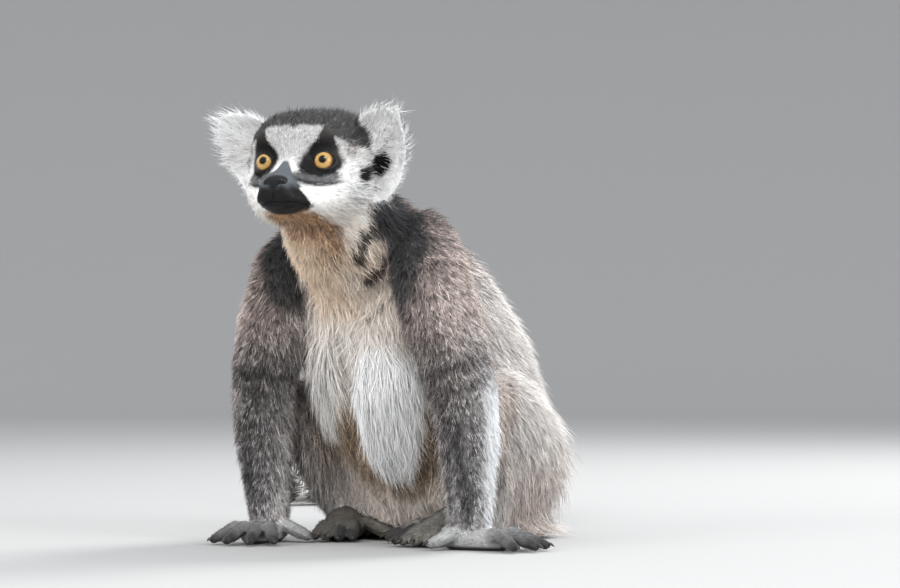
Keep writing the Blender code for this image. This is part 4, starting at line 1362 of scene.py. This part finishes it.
def coat_tables():
    """Both tables at every point of the hide, changed where the coat is its own."""
    short = shares @ np.array(list(SHORT_COAT.values()))
    long = shares @ np.array(list(LONG_COAT.values()))
    place = to_head(hide_points)
    q = both_sides(place)
    x, y, z = (hide_points / MM).T
    head = share_of(shares, "head")
    face = head * smooth_step(12, 32, place[:, 0])
    short[:, DENSITY] *= 1 + 0.7 * face
    short[:, LENGTH] *= 1 - 0.45 * face
    short[:, WIDTH] *= 1 - 0.2 * face
    short[:, LIFT] *= 1 - 0.3 * face
    long[:, DENSITY] *= 1 - face
    cheek = head * hill(q, (4, 34, -18), (20, 16, 16))
    add_where(cheek, short, length=2.5, spread=8)
    add_where(cheek, long, density=0.30, length=3.5)
    jaw = head * hill(q, (16, 22, -31), (17, 13, 10))
    add_where(jaw, short, length=3.5, lift=14)
    add_where(jaw, long, density=0.25, length=2.0, lift=12)
    crown = head * smooth_step(24, 34, place[:, 2])
    add_where(crown, short, lift=16)
    add_where(crown, long, lift=18)
    low_ear = share_of(shares, "ear") * smooth_step(8, -4, place[:, 2])
    short[:, LENGTH] *= 1 - 0.25 * low_ear
    long[:, DENSITY] *= 1 - low_ear
    high_ear = share_of(shares, "ear") * hill(q, (14, 60, 36), (12, 12, 10))
    add_where(high_ear, long, length=3.5)
    lobe = lobe_share(hide_points)
    front = smooth_step(-95, -115, y + 0.35 * (z - 130)) * share_of(shares, "trunk", "neck")
    wool = front * (1 - np.clip(lobe, 0, 1))
    add_where(wool, short, lift=8, spread=28)
    add_where(wool, long, length=-3, spread=30)
    long[:, DENSITY] += 0.10 * front + 0.55 * lobe
    long[:, LENGTH] += 3 * front + 9 * lobe
    add_where(lobe, short, length=3)
    add_where(lobe, long, lift=-8)
    low = smooth_step(34, 14, z) * share_of(shares, "trunk", "thigh")
    add_where(low, short, length=3.5)
    add_where(low, long, density=0.05, length=5)
    knee = smooth_step(-72, -88, y) * smooth_step(92, 70, z) * smooth_step(40, 52, np.abs(x))
    knee = knee * share_of(shares, "thigh", "shank", "trunk")
    add_where(knee, long, density=0.20, length=7, lift=30)
    rump = smooth_step(110, 60, z) * smooth_step(-20, 20, y) * share_of(shares, "trunk", "thigh")
    add_where(rump, long, length=6, lift=10)
    edge = smooth_step(6, 13, (np.abs(x) - 80) + 0.6 * (y + 124)) * share_of(shares, "forearm", "upper_arm")
    long[:, DENSITY] += 0.14 * edge * smooth_step(125, 90, z)
    add_where(edge, long, length=3)
    within = smooth_step(-3, -10, np.abs(x) - 79) * share_of(shares, "forearm") * smooth_step(18, 34, z)
    add_where(within, long, density=0.18, length=6.5, lift=16)
    bare = 1 - smooth_step(0.3, 0.7, hide_bare)
    short[:, DENSITY] *= bare
    long[:, DENSITY] *= bare
    return short, long


short_table, long_table = coat_tables()

# Coat piece: its regions, slot and the axis its unwrap is turned about
GROUPS = {
    "head": (("head",), "white_fur", ((0.0, -0.16, 0.23), (0.0, -0.25, 0.245))),
    "ears": (("ear",), "white_fur", ((0.0, -0.19, 0.10), (0.0, -0.19, 0.3))),
    "neck": (("neck",), "white_fur", ((0.0, -0.12, 0.18), (0.0, -0.17, 0.26))),
    "trunk": (("trunk",), "brown_fur", ((0.0, -0.02, 0.0), (0.0, -0.07, 0.2))),
    "arms": (("upper_arm", "forearm"), "grey_fur", ((0.0, -0.125, 0.0), (0.0, -0.125, 0.2))),
    "legs": (("thigh", "shank"), "brown_fur", ((0.0, -0.04, 0.0), (0.0, -0.04, 0.2))),
    "paws": (("hand", "foot"), "grey_fur", ((0.0, -0.09, 0.0), (0.0, -0.09, 0.2))),
    "tail": (("tail",), "tail_fur", ((0.0, 0.0, 0.02), (-0.1, 0.3, 0.02))),
}
# Most tufts to a piece, by their lengths: 4 triangles to a single cone and 10 to a bent lock
MOST_TUFTS = {1: 46000, 2: 19000}
COAT_SEED = 20

group_shares = np.stack([share_of(shares, *regions) for regions, _, _ in GROUPS.values()], axis=1)
main_group = np.array(list(GROUPS))[group_shares.argmax(1)]


def gathered(roots, normals, ways, lengths, every, pull, rng):
    """Leans each tuft's tip towards the tip of the nearest leading tuft, so that they lock."""
    leaders = np.arange(int(rng.integers(every)), len(roots), every)
    tree = KDTree(len(leaders))
    for k, place in enumerate(roots[leaders].tolist()):
        tree.insert(place, k)
    tree.balance()
    nearest = leaders[[tree.find(place)[1] for place in roots.tolist()]]
    tips = roots + ways * lengths[:, None]
    way = tips + pull * (tips[nearest] - tips) - roots
    return unit(way - normals * (way * normals).sum(1, keepdims=True)), nearest


def grow(name, group, table, segments, every, pull, rng):
    """All the tufts of one group of regions, as one or more joined pieces."""
    regions, slot, axis = GROUPS[group]
    density = table[:, DENSITY] * (main_group == group)
    corners, weights = scatter(density, rng)
    roots = at_places(hide_points, corners, weights)
    normals = unit(at_places(hide_normals, corners, weights))
    ways = at_places(hide_lie, corners, weights)
    ways = unit(ways - normals * (ways * normals).sum(1, keepdims=True))
    mix = at_places(shares, corners, weights)
    own = at_places(table, corners, weights)
    count = len(roots)
    swing = 0.6 * rng.normal(size=count) + 0.8 * waves(roots, 0.009, 71) + 0.6 * waves(roots, 0.022, 73)
    ways = turned(ways, normals, np.radians(own[:, SPREAD]) * swing)
    lengths = own[:, LENGTH] * MM * rng.uniform(0.7, 1.25, count)
    ways, lead = gathered(roots, normals, ways, lengths, every, pull, rng)
    widths = own[:, WIDTH] * MM * rng.uniform(0.8, 1.25, count)
    lifts = np.radians(own[:, LIFT]) * rng.uniform(0.5, 1.5, count)
    stray = 0.7 * MM * rng.normal(size=(count, 3))
    tip = coat_colour(roots + 0.5 * lengths[:, None] * ways + stray, mix)
    light = tip.mean(1)
    grizzle = smooth_step(0.75, 0.25, light) * smooth_step(0.015, 0.08, light)
    draw = rng.random(count)
    bright = 1 + (0.6 if segments == 1 else 0.2) * grizzle
    factor = np.where(draw < 0.3, 1 - 0.5 * grizzle, np.where(draw > 0.75, bright, 1.0))
    arms = share_of(mix, "upper_arm", "forearm")
    place = to_head(roots)
    cheek = share_of(mix, "head") * hill(both_sides(place), (14, 34, -14), (18, 14, 18))
    streaky = share_of(mix, "ear") + cheek
    streaky = np.clip(streaky, 0, 1) * smooth_step(0.3, 0.5, light)
    cup = hill(both_sides(place), (6, 46, 12), (12, 13, 17)) + (1 - share_of(mix, "ear"))
    factor = np.where(rng.random(count) < 0.22 * streaky * cup, 0.3, factor)
    locks = (0.08 + 0.06 * streaky + 0.34 * grizzle * (1 + 0.9 * arms)) * rng.normal(size=count)[lead]
    factor = factor * (1 + 0.08 * rng.normal(size=count)) * np.clip(1 + locks, 0.3, 1.8)
    tip = np.clip(tip * factor[:, None], 0.004, 0.9)
    # roots darker than tips: partly darker underfur, partly painted shade deep in the coat, more in the cup
    # of the ear and on the pale cheeks
    shade = 0.5 + 0.4 * smooth_step(0.2, 0.7, light) - 0.15 * streaky * np.minimum(cup, 1)
    root_tone = tip * shade[:, None]
    parts = math.ceil(count / MOST_TUFTS[segments])
    patches = unwrap(roots, *axis)
    for k in range(parts):
        pick = slice(k, None, parts)
        piece = tuft_mesh(f"{name}_{k + 1}", roots[pick], normals[pick], ways[pick], lengths[pick],
                          widths[pick], lifts[pick], segments, root_tone[pick], tip[pick],
                          0.1 + 0.75 * grizzle[pick], patches[pick])
        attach(piece, "root")


rng = np.random.default_rng(COAT_SEED)
for group in GROUPS:
    grow(f"coat_{group}", group, short_table, 1, 6, 0.4, rng)
    if group != "paws":
        grow(f"locks_{group}", group, long_table, 2, 5, 0.6, rng)


# ---- Floor, light and camera -------------------------------------------------
# A plain pale floor that rises far off all round, a soft lamp above the camera and a broad
# one to the side, which glint in the eyes, others in front and behind, and a pale surround.
def floor_bowl(rings=64, around=128):
    """A turned profile: a flat disc, then a wide quarter arc up."""
    flat, bend = 4.5, 2.5
    arc = np.linspace(0, np.radians(84), rings)
    radius = np.concatenate([np.linspace(0.0, flat, rings // 2), flat + bend * np.sin(arc[1:])])
    height = np.concatenate([np.zeros(rings // 2), bend * (1 - np.cos(arc[1:]))])
    turn = np.linspace(0, 2 * np.pi, around, endpoint=False)
    points = np.stack([radius[:, None] * np.cos(turn), radius[:, None] * np.sin(turn),
                       height[:, None] * np.ones_like(turn)], axis=-1)
    return points.reshape(-1, 3), grid_faces(len(radius), around, True)


floor_paint, _, floor_shader = new_material("pale_floor", 0.85, 0.2)
floor_shader.inputs["Base Color"].default_value = (0.40, 0.398, 0.392, 1)
floor = new_piece("floor", *floor_bowl(), floor_paint)
floor.data.flip_normals()


def area_lamp(name, place, target, size, power, colour):
    """A round lamp at a place, turned to its target."""
    lamp = bpy.data.lights.new(name, "AREA")
    lamp.shape = "DISK"
    lamp.size = size
    lamp.energy = power
    lamp.color = colour
    obj = bpy.data.objects.new(name, lamp)
    bpy.context.scene.collection.objects.link(obj)
    obj.location = place
    obj.rotation_euler = (Vector(target) - Vector(place)).to_track_quat("-Z", "Y").to_euler()
    return obj


BODY_MIDDLE = (0.0, -0.1, 0.15)
# Lamp: its place, what it points at, size, power, colour, and whether it glints in the eyes
for name, place, target, size, power, colour, glints in (
    ("key", (0.95, -1.6, 1.75), (0.0, -0.15, 0.2), 0.7, 25, (1.0, 0.99, 0.97), True),
    ("side", (2.2, -0.5, 0.85), BODY_MIDDLE, 1.3, 38, (0.93, 0.96, 1.0), True),
    ("fill", (-0.7, -2.2, 0.65), BODY_MIDDLE, 1.6, 42, (1.0, 1.0, 1.0), False),
    ("rim", (0.55, 1.6, 1.75), BODY_MIDDLE, 1.2, 62, (1.0, 1.0, 1.0), False),
):
    area_lamp(name, place, target, size, power, colour).visible_glossy = glints
world = bpy.data.worlds.new("pale_surround")
bpy.context.scene.world = world
world.use_nodes = True
world.node_tree.nodes["Background"].inputs["Color"].default_value = (0.92, 0.95, 1.0, 1)
world.node_tree.nodes["Background"].inputs["Strength"].default_value = 1.0
bpy.context.scene.view_settings.view_transform = "Standard"

CAMERA_PLACE = Vector((0.948, -1.651, 0.12))
CAMERA_TARGET = Vector((0.0479, -0.0923, 0.1673))
lens = bpy.data.cameras.new("camera")
lens.lens = 108
lens.sensor_width = 36
camera = bpy.data.objects.new("camera", lens)
bpy.context.scene.collection.objects.link(camera)
camera.location = CAMERA_PLACE
camera.rotation_euler = (CAMERA_TARGET - CAMERA_PLACE).to_track_quat("-Z", "Y").to_euler()
bpy.context.scene.camera = camera
